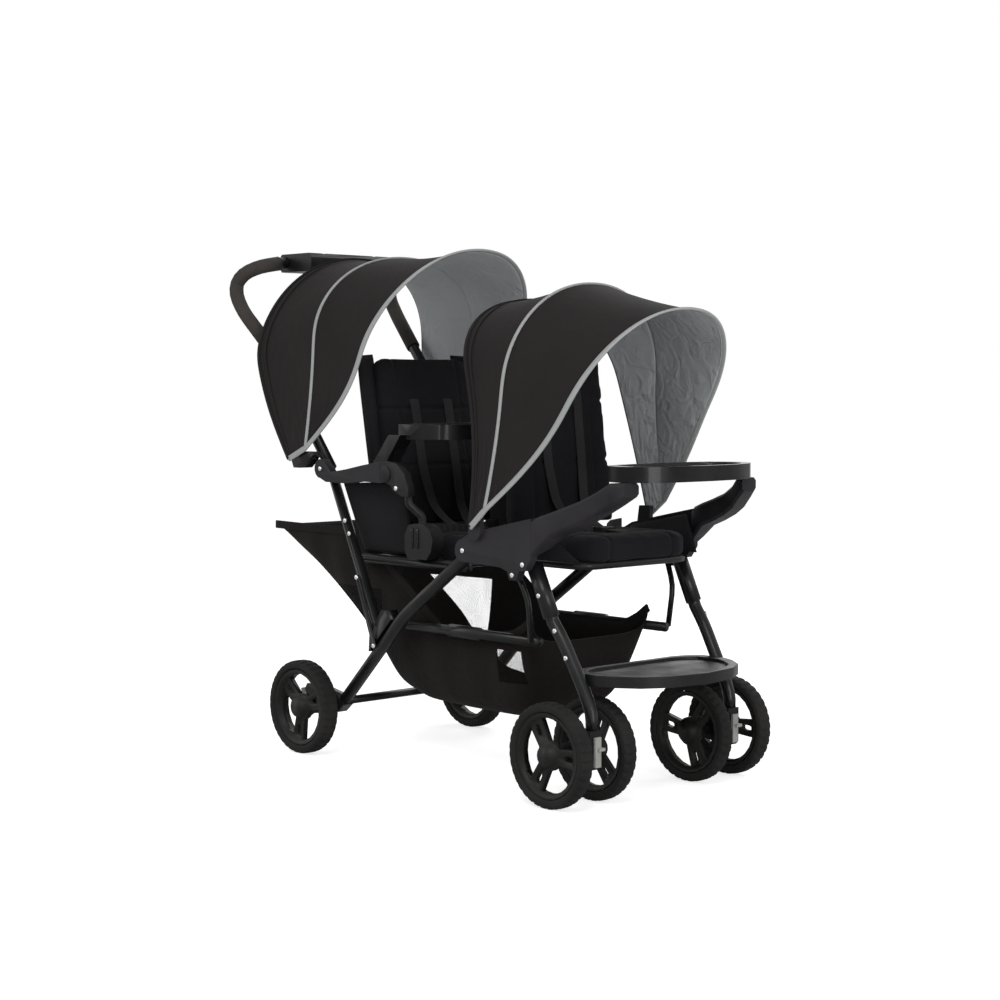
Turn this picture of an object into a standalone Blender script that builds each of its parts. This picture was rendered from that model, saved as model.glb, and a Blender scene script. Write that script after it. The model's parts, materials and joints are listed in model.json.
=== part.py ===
# Double stroller with one seat behind the other, in metres, +Z up.
# It faces +X and its right side is -Y. Places along it are measured from the rear axle (x = 0) and
# heights from the floor; everything hangs on one empty that moves the middle of its length to x = 0.
import math

import bmesh
import bpy
from mathutils import Matrix, Vector

for old_object in list(bpy.data.objects):
    bpy.data.objects.remove(old_object, do_unlink=True)

RIGHT = -1
LEFT = 1
SIDES = (RIGHT, LEFT)

# Clearances
GAP = 0.0003
SPIN_GAP = 0.0005

# Wheels
WHEEL_R = 0.1016
TYRE_WALL = 0.0185
TYRE_SHOULDER = 0.007
TYRE_SIDES = 32
REAR_TYRE_W = 0.039
FRONT_TYRE_W = 0.032
RIM_INSET = 0.004
RIM_WALL = 0.008
RIM_SIDES = 24
SPOKE_T = 0.011
SPOKE_HALF_AT_RIM = 0.0185
SPOKE_HALF_AT_HUB = 0.0150
SPOKE_ROOT_R = 0.029
SLOT_HALF_W = 0.0055
SLOT_IN_R = 0.045
SLOT_OUT_R = 0.060
HUB_R = 0.021
HUB_BORE_DEPTH = 0.024
AXLE_R = 0.005
WHEELBASE = 0.7813
REAR_HALF_TRACK = 0.248
CASTER_HALF_TRACK = 0.198
TWIN_OFFSET = 0.059
CASTER_TRAIL = 0.052

# Tube radii
HANDLE_R = 0.0125
GRIP_R = 0.0160
# The bore of the grips clears the corners of the many-sided handle tube
GRIP_BORE_R = 0.0140
UPRIGHT_R = 0.011
REAR_LEG_R = 0.0135
FRONT_LEG_R = 0.013
SLEEVE_R = 0.0165
SEAT_RAIL_R = 0.011
LOWER_RAIL_R = 0.010
JOINER_R = 0.0134
SEAT_TUBE_R = 0.008
STRUT_R = 0.006
POST_R = 0.008
AXLE_TUBE_R = 0.009
PEG_R = 0.005

# Layers, as distances from the middle plane. The tubes of the frame lie against the inner faces of
# the side plates; the seat rails and the lower rails lie inside the rear legs.
SIDE_INNER_Y = 0.2225
SIDE_T = 0.0175
SIDE_OUTER_Y = SIDE_INNER_Y + SIDE_T
RAIL_SPACE = 0.0027
HANDLE_Y = SIDE_INNER_Y - GAP - HANDLE_R
UPRIGHT_Y = SIDE_INNER_Y - GAP - UPRIGHT_R
REAR_LEG_Y = SIDE_INNER_Y - GAP - REAR_LEG_R
REAR_LEG_IN = REAR_LEG_Y - REAR_LEG_R
SEAT_RAIL_Y = REAR_LEG_IN - RAIL_SPACE - SEAT_RAIL_R
LOWER_RAIL_Y = REAR_LEG_IN - GAP - JOINER_R
SLEEVE_Y = SIDE_INNER_Y - GAP - SLEEVE_R
SEAT_HALF_W = 0.155
BASKET_HALF_W = 0.1660

# Frame, side positions (x, z)
FOLD_PIVOT = (0.513, 0.473)
REAR_LEG_TOP = (0.521, 0.4786)
REAR_LEG_BEND = (0.296, 0.322)
REAR_LEG_FOOT = (0.098, 0.124)
UPRIGHT_TOP = (0.068, 0.594)
UPRIGHT_FOOT = (0.2075, 0.302)
HANDLE_PIVOT = (0.054, 0.622)
LOWER_PIVOT = (0.665, 0.300)
LOWER_RAIL_X = (0.274, 0.674)
JOINER_X = (0.410, 0.500)
STRUT_TOP = (0.643, 0.440)
STRUT_KNEE = (0.669, 0.385)
SLEEVE_TOP = (0.683, 0.455)
SLEEVE_END = (0.7294, 0.357)
LEG_BEND = (0.761, 0.311)
LEG_KNEE = (WHEELBASE + 0.0297, 0.224)
STEM_X = WHEELBASE + CASTER_TRAIL
STEM_TOP_Z = 0.150
SEAT_RAIL_Z = 0.432
SEAT_RAIL_X = (0.112, 0.466)
SEAT_CROSS_X = (0.216, 0.395)
HINGE_DISC = (0.272, 0.617)
HINGE_DISC_R = 0.0175
MOLDING_END_X = 0.2535
KNOB_R = 0.021
LINK_TOP = (0.160, 0.394)
LINK_FOOT = (0.216, 0.253)
LINK_T = 0.0035
LINK_HALF_W = 0.0055
PARTING_X = 0.7085

# Handle and console
HANDLE_PATH = ((-0.150, HANDLE_Y, 0.8715), (-0.246, 0.226, 0.968), (-0.276, 0.226, 1.013),
               (-0.262, 0.220, 1.048), (-0.236, 0.190, 1.068), (-0.232, 0.120, 1.080))
HANDLE_BEND = 0.026
CONSOLE_X = (-0.256, -0.136)
CONSOLE_Z = (1.058, 1.099)
CONSOLE_HALF_L = 0.116
CONSOLE_EDGE = 0.010
CUP_WELL_R = 0.034
CUP_WELL_X = -0.179
CUP_WELL_Y = 0.073
CUP_WELL_DEPTH = 0.034
LID_X = (-0.213, -0.145)
LID_HALF_W = 0.030
LID_T = 0.004
LID_LEDGE = 0.004
STORE_DEPTH = 0.022
TRIGGER_X = (-0.200, -0.160)
TRIGGER_HALF_W = 0.030
TRIGGER_T = 0.0085
TRIGGER_DROP = 0.004
TRIGGER_ROOM = 0.010

# Seats
SEAT_PAD_T = 0.0425
REAR_SEAT_X = (0.158, 0.425)
REAR_BACK_LEAN = math.radians(11)
REAR_BACK_H = 0.392
FRONT_SEAT_X = (0.535, 0.785)
FRONT_BACK_LEAN = math.radians(6)
FRONT_BACK_H = 0.385
BACK_T = 0.030
BACK_TOP_HALF_W = 0.142
BACK_CORNER = 0.030
FRONT_SEAT_TUBE_Z = 0.452
FRONT_SEAT_TUBE_X = (0.600, 0.762)
REAR_PAD_Z = SEAT_RAIL_Z + SEAT_TUBE_R + GAP
FRONT_PAD_Z = FRONT_SEAT_TUBE_Z + SEAT_TUBE_R + GAP
REAR_CREASE = (REAR_SEAT_X[0], REAR_PAD_Z + SEAT_PAD_T)
FRONT_CREASE = (FRONT_SEAT_X[0], FRONT_PAD_Z + SEAT_PAD_T)
BUCKLE_FORWARD = 0.130
BUCKLE_SIZE = (0.042, 0.036, 0.014)
BUTTON_R = 0.010
BUTTON_POCKET = 0.010
BUTTON_TRAVEL = 0.003
BUTTON_PROUD = 0.001

# Trays and footrest, half plans from the middle of the front edge to the middle of the rear edge
TRAY_Z = 0.619
TRAY_T = 0.030
TRAY_PLAN = ((0.958, 0.0), (0.953, 0.080), (0.938, 0.130), (0.912, 0.165), (0.880, 0.178),
             (0.845, 0.170), (0.820, 0.145), (0.810, 0.100), (0.806, 0.0))
TRAY_HINGE = (0.893, 0.163)
CUP_RING_X = 0.882
CUP_RING_Y = 0.112
CUP_RING_R = 0.037
CUP_RING_DEPTH = 0.014
REAR_TRAY_Z = 0.688
REAR_TRAY_T = 0.032
REAR_TRAY_PLAN = ((0.375, 0.0), (0.373, 0.110), (0.362, 0.160), (0.335, 0.190), (0.300, 0.202),
                  (0.268, 0.200), (0.248, 0.182), (0.238, 0.140), (0.235, 0.0))
REAR_TRAY_ARM_IN = 0.184
FOOTREST_Z = 0.230
FOOTREST_T = 0.022
FOOTREST_EAR_Y = CASTER_HALF_TRACK - FRONT_LEG_R + 0.0001
FOOTREST_PLAN = ((WHEELBASE + 0.1687, 0.0), (WHEELBASE + 0.1537, 0.090), (WHEELBASE + 0.1237, 0.140),
                 (WHEELBASE + 0.0807, 0.172), (WHEELBASE + 0.0507, FOOTREST_EAR_Y),
                 (WHEELBASE - 0.0093, FOOTREST_EAR_Y), (WHEELBASE - 0.0293, 0.160),
                 (WHEELBASE - 0.0393, 0.125), (WHEELBASE - 0.0393, 0.0))
DISH_SHARE = 0.86
DISH_DEPTH = 0.006

# Basket: stations along it (x, height of the rim, height of the bottom)
BASKET_STATIONS = ((-0.205, 0.492, 0.484), (-0.140, 0.491, 0.430), (-0.073, 0.490, 0.381),
                   (0.044, 0.490, 0.284), (0.100, 0.488, 0.232), (0.137, 0.465, 0.195),
                   (0.175, 0.440, 0.150), (0.250, 0.386, 0.128), (0.360, 0.305, 0.126),
                   (WHEELBASE - 0.3313, 0.305, 0.125), (WHEELBASE - 0.2413, 0.305, 0.126),
                   (WHEELBASE - 0.2013, 0.310, 0.145), (WHEELBASE - 0.1713, 0.325, 0.200),
                   (WHEELBASE - 0.1443, 0.345, 0.290))
BASKET_T = 0.004
BASKET_BOTTOM_HALF_W = 0.145
BASKET_FULL_DEPTH = 0.15

# Canopies. The cloth gathers at the foot, and every edge rises from there to its shoulder, where its
# arch begins, and on to its crown. Each edge is (shoulder, crown, half width at the shoulder).
REAR_FOOT = (-0.020, 0.632)
REAR_BOW_PIVOT = (-0.008, 0.645)
REAR_EDGES = {"rim": ((0.165, 0.891), (0.305, 1.087), 0.217), "mid": ((0.024, 0.915), (0.050, 1.082), 0.230),
              "back": ((-0.160, 0.870), (-0.120, 1.076), 0.240)}
FRONT_FOOT = (0.552, 0.520)
FRONT_BOW_PIVOT = (0.556, 0.514)
FRONT_EDGES = {"rim": ((0.747, 0.764), (0.893, 0.947), 0.199), "mid": ((0.604, 0.810), (0.639, 1.004), 0.219),
               "back": ((0.500, 0.825), (0.445, 0.975), 0.215)}
CANOPY_T = 0.003
CANOPY_FOOT_Y = 0.250
CANOPY_START = 0.026
CLIP_OUTER_Y = 0.2485
CLIP_R = 0.018
SEAM_SHARES = (0.97, 0.04)

# Caster forks, their lock levers and the brake pedals
FORK_HALF_W = 0.016
STEM_FRONT = 0.011
BOSS_R = 0.012
WHEEL_SIDE_GAP = 0.0045
LOCK_Z = (0.080, 0.138)
LOCK_T = 0.006
LOCK_HALF_W = 0.008
PEDAL_PIVOT = (-0.014, 0.132)
PEDAL_EYE_R = 0.009
PEDAL_REACH = 0.062
PEDAL_IN_Y = 0.165

RIVET_R = 0.0048
RIVET_H = 0.0022
PLATE_RIVETS = (FOLD_PIVOT, (0.686, 0.456), (0.657, 0.434))

parts = bpy.data.collections.new("double_stroller")
cutters = bpy.data.collections.new("cutters")
bpy.context.scene.collection.children.link(parts)
bpy.context.scene.collection.children.link(cutters)


def finish(name, colour, roughness, metallic=0.0):
    """One Principled material."""
    material = bpy.data.materials.new(name)
    material.use_nodes = True
    shader = material.node_tree.nodes["Principled BSDF"]
    shader.inputs["Base Color"].default_value = (*colour, 1.0)
    shader.inputs["Roughness"].default_value = roughness
    shader.inputs["Metallic"].default_value = metallic
    return material


TYRE_BLACK = finish("tyre_black", (0.018, 0.017, 0.019), 0.85)
RIM_CHARCOAL = finish("rim_charcoal", (0.024, 0.025, 0.023), 0.55)
TUBE_BLACK = finish("tube_black", (0.010, 0.011, 0.011), 0.38, 0.3)
MOLDED_GREY = finish("molded_charcoal", (0.030, 0.028, 0.031), 0.55)
MOLDED_BLACK = finish("molded_black", (0.012, 0.012, 0.013), 0.45)
GRIP_FOAM = finish("grip_foam", (0.045, 0.040, 0.037), 0.90)
LEVER_GREY = finish("lever_grey", (0.32, 0.33, 0.31), 0.50)
CANOPY_CLOTH = finish("canopy_cloth", (0.018, 0.015, 0.014), 0.90)
SEAT_CLOTH = finish("seat_cloth", (0.016, 0.015, 0.017), 0.92)
BASKET_CLOTH = finish("basket_cloth", (0.022, 0.017, 0.014), 0.92)

pivot_place = {}
pivot_empty = {}


def pivot(name, place, parent=None):
    """An empty on a joint's axis, which carries one moving body."""
    empty = bpy.data.objects.new(name + "_pivot", None)
    bpy.context.scene.collection.objects.link(empty)
    pivot_place[name] = Vector(place)
    pivot_empty[name] = empty
    if parent is None:
        empty.location = Vector((-middle_x(), 0, 0))
    else:
        empty.parent = pivot_empty[parent]
        empty.location = pivot_place[name] - pivot_place[parent]


def side_name(side):
    return "right" if side == RIGHT else "left"


def at(place, y=0.0):
    """A side position (x, z) at a distance from the middle plane."""
    return Vector((place[0], y, place[1]))


def add(obj, body, material):
    """Link a piece, give it its material and hang it on its body's pivot."""
    parts.objects.link(obj)
    obj.data.materials.clear()
    obj.data.materials.append(material)
    obj.parent = pivot_empty[body]
    return obj


def helper(name, data):
    """An object that only cuts or joins others."""
    obj = bpy.data.objects.new(name, data)
    cutters.objects.link(obj)
    obj.hide_render = True
    obj.display_type = "WIRE"
    return obj


def evaluated_mesh(obj, name):
    """The finished mesh of a helper object, with its loose caps welded; the helper is removed."""
    bpy.context.view_layer.update()
    graph = bpy.context.evaluated_depsgraph_get()
    mesh = bpy.data.meshes.new_from_object(obj.evaluated_get(graph))
    mesh.name = name
    bm = bmesh.new()
    bm.from_mesh(mesh)
    bmesh.ops.remove_doubles(bm, verts=bm.verts, dist=0.00001)
    bmesh.ops.recalc_face_normals(bm, faces=bm.faces)
    bm.to_mesh(mesh)
    bm.free()
    bpy.data.objects.remove(obj, do_unlink=True)
    return mesh


def combine(first, second, operation):
    """Join or cut one helper with another and return the result as a new helper."""
    boolean = first.modifiers.new("combine", "BOOLEAN")
    boolean.operation = operation
    boolean.object = second
    name = first.name
    mesh = evaluated_mesh(first, name)
    bpy.data.objects.remove(second, do_unlink=True)
    return helper(name, mesh)


def finished(obj, name, body, material):
    """Turn a helper, drawn in stroller coordinates, into a piece on its body."""
    mesh = evaluated_mesh(obj, name)
    mesh.transform(Matrix.Translation(-pivot_place[body]))
    return add(bpy.data.objects.new(name, mesh), body, material)


def shade(mesh):
    mesh.shade_smooth()
    mesh.set_sharp_from_angle(angle=math.radians(40))


def arc(radius, start, end, count, centre=(0.0, 0.0)):
    """Points along an arc, with its angles in degrees."""
    points = []
    for i in range(count):
        angle = math.radians(start + (end - start) * i / (count - 1))
        points.append((centre[0] + radius * math.cos(angle), centre[1] + radius * math.sin(angle)))
    return points


def rounded(points, radius, steps=4):
    """A path whose corners are blends that start one radius before each corner."""
    points = [Vector(p) for p in points]
    path = [points[0]]
    for before, corner, after in zip(points, points[1:], points[2:]):
        start = corner + (before - corner).normalized() * min(radius, (corner - before).length * 0.49)
        end = corner + (after - corner).normalized() * min(radius, (after - corner).length * 0.49)
        for i in range(steps + 1):
            t = i / steps
            path.append(start * (1 - t) ** 2 + corner * (2 * t * (1 - t)) + end * t * t)
    path.append(points[-1])
    return path


def both_sides(points):
    """A path given for the left side, and the same one mirrored to the right."""
    return [[Vector((x, side * y, z)) for x, y, z in points] for side in SIDES]


def handle_side():
    """The left half of the handle's centre line, from its pivot to the console."""
    return rounded([at(HANDLE_PIVOT, HANDLE_Y), *HANDLE_PATH], HANDLE_BEND, 3)


def middle_x():
    """The middle of the stroller's length, from the back of the grips to the front of the tray."""
    return (min(p.x for p in handle_side()) - GRIP_R + TRAY_PLAN[0][0]) / 2


def round_curve(name, paths, radius, resolution, radii=None, origin=Vector(), caps=True):
    """Round tubes along one or more paths, as one curve."""
    curve = bpy.data.curves.new(name, "CURVE")
    curve.dimensions = "3D"
    curve.bevel_depth = radius
    curve.bevel_resolution = resolution
    curve.use_fill_caps = caps
    for path in paths:
        spline = curve.splines.new("POLY")
        spline.points.add(len(path) - 1)
        for i, place in enumerate(path):
            spline.points[i].co = (*(Vector(place) - origin), 1.0)
            if radii:
                spline.points[i].radius = radii[i] / radius
    return curve


def tube(name, body, paths, radius, material, resolution=3, radii=None):
    """A piece made of round tubes."""
    curve = round_curve(name, paths, radius, resolution, radii, pivot_place[body])
    return add(bpy.data.objects.new(name, curve), body, material)


def tube_helper(name, paths, radius, resolution=3, radii=None, caps=True):
    """Round tubes as a helper mesh."""
    curve = round_curve(name, paths, radius, resolution, radii, caps=caps)
    return helper(name, evaluated_mesh(helper(name, curve), name))


def outline_curve(name, outlines, thickness):
    """Flat closed outlines, where the later ones are holes, with a thickness along local Z."""
    curve = bpy.data.curves.new(name, "CURVE")
    curve.dimensions = "2D"
    curve.fill_mode = "BOTH"
    curve.extrude = thickness / 2
    for outline in outlines:
        spline = curve.splines.new("POLY")
        spline.points.add(len(outline) - 1)
        for point, place in zip(spline.points, outline):
            point.co = (place[0], place[1], 0.0, 1.0)
        spline.use_cyclic_u = True
    return curve


def placed_outline(name, outlines, thickness, matrix):
    """An outline's solid as a helper, turned and moved into its place."""
    mesh = evaluated_mesh(helper(name, outline_curve(name, outlines, thickness)), name)
    mesh.transform(matrix)
    return helper(name, mesh)


def slab(name, outlines, low_y, high_y):
    """An upright helper: side outlines (x, z) with a thickness across the stroller."""
    turn = Matrix.Rotation(math.pi / 2, 4, "X")
    place = Matrix.Translation((0, (low_y + high_y) / 2, 0))
    return placed_outline(name, outlines, high_y - low_y, place @ turn)


def board(name, outlines, low_z, high_z):
    """A lying helper: plan outlines (x, y) with a thickness upward."""
    return placed_outline(name, outlines, high_z - low_z, Matrix.Translation((0, 0, (low_z + high_z) / 2)))


def solid(name, draw):
    """A helper from a function that adds primitives to a bmesh."""
    bm = bmesh.new()
    draw(bm)
    mesh = bpy.data.meshes.new(name)
    bm.to_mesh(mesh)
    bm.free()
    return helper(name, mesh)


def box(name, low, high):
    """A box between two corners, as a helper."""
    low = Vector(low)
    high = Vector(high)
    matrix = Matrix.Translation((low + high) / 2) @ Matrix.Diagonal((*(high - low), 1.0))
    return solid(name, lambda bm: bmesh.ops.create_cube(bm, size=1.0, matrix=matrix))


TURNS = {"Y": Matrix.Rotation(math.pi / 2, 4, "X"), "Z": Matrix.Identity(4)}


def rod(name, centre, radius, length, axis="Y", sides=16):
    """A cylinder along one axis, as a helper."""
    matrix = Matrix.Translation(centre) @ TURNS[axis]
    return solid(name, lambda bm: bmesh.ops.create_cone(bm, cap_ends=True, segments=sides, radius1=radius,
                                                        radius2=radius, depth=length, matrix=matrix))


def joined(name, body, helpers, material):
    """Several helpers that overlap, joined into one piece."""
    whole = helpers[0]
    for obj in helpers[1:]:
        whole = combine(whole, obj, "UNION")
    return finished(whole, name, body, material)


def side_slab(name, outlines, inner_y, outer_y, side):
    """An upright plate on one side, as a helper."""
    low_y, high_y = sorted((side * inner_y, side * outer_y))
    return slab(name, outlines, low_y, high_y)


def head(place, face_y, radius, side, depth=0.002):
    """A rivet head or disc on an outer face, rooted in what it sits on, as a helper."""
    low = face_y - depth
    high = face_y + RIVET_H
    return rod("head", at(place, side * (low + high) / 2), radius, high - low, "Y", 12)


def side_tubes(name, body, points, radius, material, resolution=3, radii=None):
    """The same round tube on each side, as one piece each."""
    for side, path in zip(SIDES, both_sides(points)):
        tube(name + "_" + side_name(side), body, [path], radius, material, resolution, radii)


def turned_mesh(name, profile, sides):
    """A closed profile (radius, height), run down its outer side, turned about local Z."""
    mesh = bpy.data.meshes.new(name)
    edges = [(i, (i + 1) % len(profile)) for i in range(len(profile))]
    mesh.from_pydata([(radius, 0, height) for radius, height in profile], edges, [])
    obj = helper(name, mesh)
    screw = obj.modifiers.new("turn", "SCREW")
    screw.angle = 2 * math.pi
    screw.steps = sides
    screw.render_steps = sides
    screw.use_merge_vertices = True
    screw.merge_threshold = 0.00005
    return evaluated_mesh(obj, name)


def loft_mesh(name, sections, closed_sections):
    """A surface through sections that all have the same number of points."""
    bm = bmesh.new()
    rows = [[bm.verts.new(place) for place in section] for section in sections]
    count = len(rows[0])
    last = count if closed_sections else count - 1
    for row, following in zip(rows, rows[1:]):
        for i in range(last):
            j = (i + 1) % count
            bm.faces.new((row[i], row[j], following[j], following[i]))
    if closed_sections:
        bm.faces.new(reversed(rows[0]))
        bm.faces.new(rows[-1])
    bmesh.ops.recalc_face_normals(bm, faces=bm.faces)
    mesh = bpy.data.meshes.new(name)
    bm.to_mesh(mesh)
    bm.free()
    return mesh


def thickened(obj, thickness, offset):
    """Give an open surface its thickness."""
    shell = obj.modifiers.new("thickness", "SOLIDIFY")
    shell.thickness = thickness
    shell.offset = offset
    return obj


def mirrored_plan(half):
    """A plan outline from its left half, which starts and ends on the middle plane."""
    return list(half) + [(x, -y) for x, y in half[-2:0:-1]]


def inset_plan(outline, share):
    """A plan outline drawn in towards its middle."""
    middle_x = (max(x for x, y in outline) + min(x for x, y in outline)) / 2
    return [(middle_x + (x - middle_x) * share, y * share) for x, y in outline]


def beside_end(before, end, radius):
    """The corners of a flat face that lies one gap past a tube's end, in side view."""
    before = Vector(before)
    end = Vector(end)
    along = (end - before).normalized()
    middle = end + along * GAP
    across = Vector((-along.y, along.x)) * radius
    return [tuple(middle + across), tuple(middle - across)]


def height_on(first, second, z):
    """Where the line between two side positions reaches a height."""
    return first[0] + (second[0] - first[0]) * (z - first[1]) / (second[1] - first[1])


def build_pivots():
    """Every joint's axis, from the front frame out."""
    pivot("front_frame", (0, 0, 0))
    pivot("rear_frame", at(FOLD_PIVOT), "front_frame")
    pivot("lower_rails", at(LOWER_PIVOT), "front_frame")
    pivot("handle", at(HANDLE_PIVOT), "rear_frame")
    pivot("console_lid", (LID_X[0], 0, CONSOLE_Z[1]), "handle")
    pivot("fold_trigger", (sum(TRIGGER_X) / 2, 0, CONSOLE_Z[0]), "handle")
    hoods = (("rear", REAR_BOW_PIVOT, "handle"), ("front", FRONT_BOW_PIVOT, "front_frame"))
    for name, place, carrier in hoods:
        pivot(name + "_canopy_mid", at(place), carrier)
        pivot(name + "_canopy_front", at(place), name + "_canopy_mid")
    for name, place, carrier in (("rear", REAR_CREASE, "rear_frame"), ("front", FRONT_CREASE, "front_frame")):
        pivot(name + "_backrest", at(place), carrier)
        pivot(name + "_buckle_button", (place[0] + BUCKLE_FORWARD, 0, place[1]), carrier)
    pivot("front_tray", (*TRAY_HINGE, TRAY_Z), "front_frame")
    for side in SIDES:
        end = "_" + side_name(side)
        pivot("rear_wheel" + end, (0, side * REAR_HALF_TRACK, WHEEL_R), "rear_frame")
        pivot("brake_pedal" + end, at(PEDAL_PIVOT, side * PEDAL_IN_Y), "rear_frame")
        pivot("caster" + end, (STEM_X, side * CASTER_HALF_TRACK, 0), "front_frame")
        pivot("caster_lock" + end, (STEM_X, side * CASTER_HALF_TRACK, LOCK_Z[0]), "caster" + end)
        for name, offset in (("_outer", TWIN_OFFSET), ("_inner", -TWIN_OFFSET)):
            hub_y = side * (CASTER_HALF_TRACK + offset)
            pivot("front_wheel" + end + name, (WHEELBASE, hub_y, WHEEL_R), "caster" + end)


def tyre_mesh(name, width):
    """A tyre ring about local Z; its flats, not its corners, lie at the wheel's radius."""
    outer = WHEEL_R / math.cos(math.pi / TYRE_SIDES)
    inner = WHEEL_R - TYRE_WALL
    half = width / 2
    side_r = outer - TYRE_SHOULDER * 0.7
    profile = [(side_r, half), (outer, half - TYRE_SHOULDER), (outer, TYRE_SHOULDER - half),
               (side_r, -half), (inner, -half), (inner, half)]
    mesh = turned_mesh(name, profile, TYRE_SIDES)
    shade(mesh)
    return mesh


def spoke_outlines(well_r):
    """The wheel disc: its edge, three windows between the spokes and a long slot in each spoke."""
    window_r = well_r - 0.002
    outlines = [arc(well_r + RIM_WALL / 2, 0, 360 - 360 / RIM_SIDES, RIM_SIDES)]
    reach = 60 - math.degrees(math.asin(SPOKE_HALF_AT_RIM / window_r))
    root = 60 - math.degrees(math.asin(SPOKE_HALF_AT_HUB / SPOKE_ROOT_R))
    for middle in (60, 180, 300):
        outlines.append(arc(window_r, middle - reach, middle + reach, 7)
                        + arc(SPOKE_ROOT_R, middle + root, middle - root, 4))
    for spoke in (0, 120, 240):
        along = Vector((math.cos(math.radians(spoke)), math.sin(math.radians(spoke))))
        outlines.append(arc(SLOT_HALF_W, spoke - 90, spoke + 90, 4, along * SLOT_OUT_R)
                        + arc(SLOT_HALF_W, spoke + 90, spoke + 270, 4, along * SLOT_IN_R))
    return outlines


def rim_mesh(name, width):
    """A wheel: three looped spokes in a barrel, with a hub that is closed outside and bored inside."""
    seat_r = (WHEEL_R - TYRE_WALL) * math.cos(math.pi / TYRE_SIDES) - GAP
    half = width / 2 - RIM_INSET
    well_r = seat_r - RIM_WALL
    hub_half = width / 2
    bore_end = HUB_BORE_DEPTH - hub_half
    bore_start = -hub_half - 0.002
    barrel = helper("barrel", turned_mesh("barrel", [(seat_r, half), (seat_r, -half), (well_r, -half),
                                                     (well_r, half)], RIM_SIDES))
    disc = placed_outline("disc", spoke_outlines(well_r), SPOKE_T, Matrix.Identity(4))
    hub = rod("hub", (0, 0, 0), HUB_R, 2 * hub_half, "Z", 16)
    bore = rod("bore", (0, 0, (bore_end + bore_start) / 2), AXLE_R + SPIN_GAP, bore_end - bore_start, "Z", 12)
    wheel_body = combine(disc, barrel, "UNION")
    wheel_body = combine(wheel_body, hub, "UNION")
    wheel_body = combine(wheel_body, bore, "DIFFERENCE")
    return evaluated_mesh(wheel_body, name)


def wheel(name, outward, tyre, rim, turn):
    """A tyre and a rim on one wheel's pivot, with the closed side of the hub facing outward."""
    tilt = Matrix.Rotation(-outward * math.pi / 2, 4, "X")
    for piece, mesh, angle, material in (("_tyre", tyre, 180 / TYRE_SIDES, TYRE_BLACK),
                                         ("_rim", rim, turn, RIM_CHARCOAL)):
        obj = add(bpy.data.objects.new(name + piece, mesh), name, material)
        obj.rotation_euler = (tilt @ Matrix.Rotation(math.radians(angle), 4, "Z")).to_euler()


def build_wheels():
    rear_tyre = tyre_mesh("rear_tyre", REAR_TYRE_W)
    rear_rim = rim_mesh("rear_rim", REAR_TYRE_W)
    front_tyre = tyre_mesh("front_tyre", FRONT_TYRE_W)
    front_rim = rim_mesh("front_rim", FRONT_TYRE_W)
    for side in SIDES:
        end = "_" + side_name(side)
        wheel("rear_wheel" + end, side, rear_tyre, rear_rim, 20)
        wheel("front_wheel" + end + "_outer", side, front_tyre, front_rim, 0)
        wheel("front_wheel" + end + "_inner", -side, front_tyre, front_rim, 50)


def build_casters():
    """A fork between each pair of front wheels, with its axle, and the lock lever on it."""
    front_x = STEM_X + STEM_FRONT
    top = STEM_TOP_Z - GAP
    outline = [(front_x, top), (STEM_X - 0.014, top), (STEM_X - 0.022, top - 0.022),
               (WHEELBASE - 0.014, WHEEL_R + 0.017), (WHEELBASE - 0.019, WHEEL_R - 0.004),
               (WHEELBASE - 0.008, WHEEL_R - 0.019), (WHEELBASE + 0.014, WHEEL_R - 0.021),
               (front_x - 0.006, LOCK_Z[0] - 0.006), (front_x, LOCK_Z[0])]
    boss_half = TWIN_OFFSET - FRONT_TYRE_W / 2 - WHEEL_SIDE_GAP
    axle_half = TWIN_OFFSET - FRONT_TYRE_W / 2 + HUB_BORE_DEPTH - 0.001
    back_x = front_x + GAP
    face_x = back_x + LOCK_T
    tab_z = LOCK_Z[0] + 0.6 * (LOCK_Z[1] - LOCK_Z[0])
    for side in SIDES:
        end = "_" + side_name(side)
        y = side * CASTER_HALF_TRACK
        centre = (WHEELBASE, y, WHEEL_R)
        fork = slab("fork", [outline], y - FORK_HALF_W, y + FORK_HALF_W)
        fork = combine(fork, rod("boss", centre, BOSS_R, 2 * boss_half), "UNION")
        fork = combine(fork, rod("axle", centre, AXLE_R, 2 * axle_half, "Y", 12), "UNION")
        finished(fork, "caster_fork" + end, "caster" + end, MOLDED_BLACK)
        lever = box("lever", (back_x, y - LOCK_HALF_W, LOCK_Z[0]), (face_x, y + LOCK_HALF_W, LOCK_Z[1]))
        tab = box("tab", (back_x + 0.001, y - 0.004, tab_z - 0.003),
                  (face_x + 0.007, y + 0.012, tab_z + 0.003))
        finished(combine(lever, tab, "UNION"), "caster_lock" + end, "caster_lock" + end, LEVER_GREY)


def arm_section(side, x, inner, outer, low, high):
    """One upright section of an arm, with its corners cut off."""
    cut = min(0.006, (outer - inner) * 0.3)
    corners = [(inner, low + cut), (inner + cut, low), (outer - cut, low), (outer, low + cut),
               (outer, high - cut), (outer - cut, high), (inner + cut, high), (inner, high - cut)]
    return [(x, side * y, z) for y, z in corners]


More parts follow.
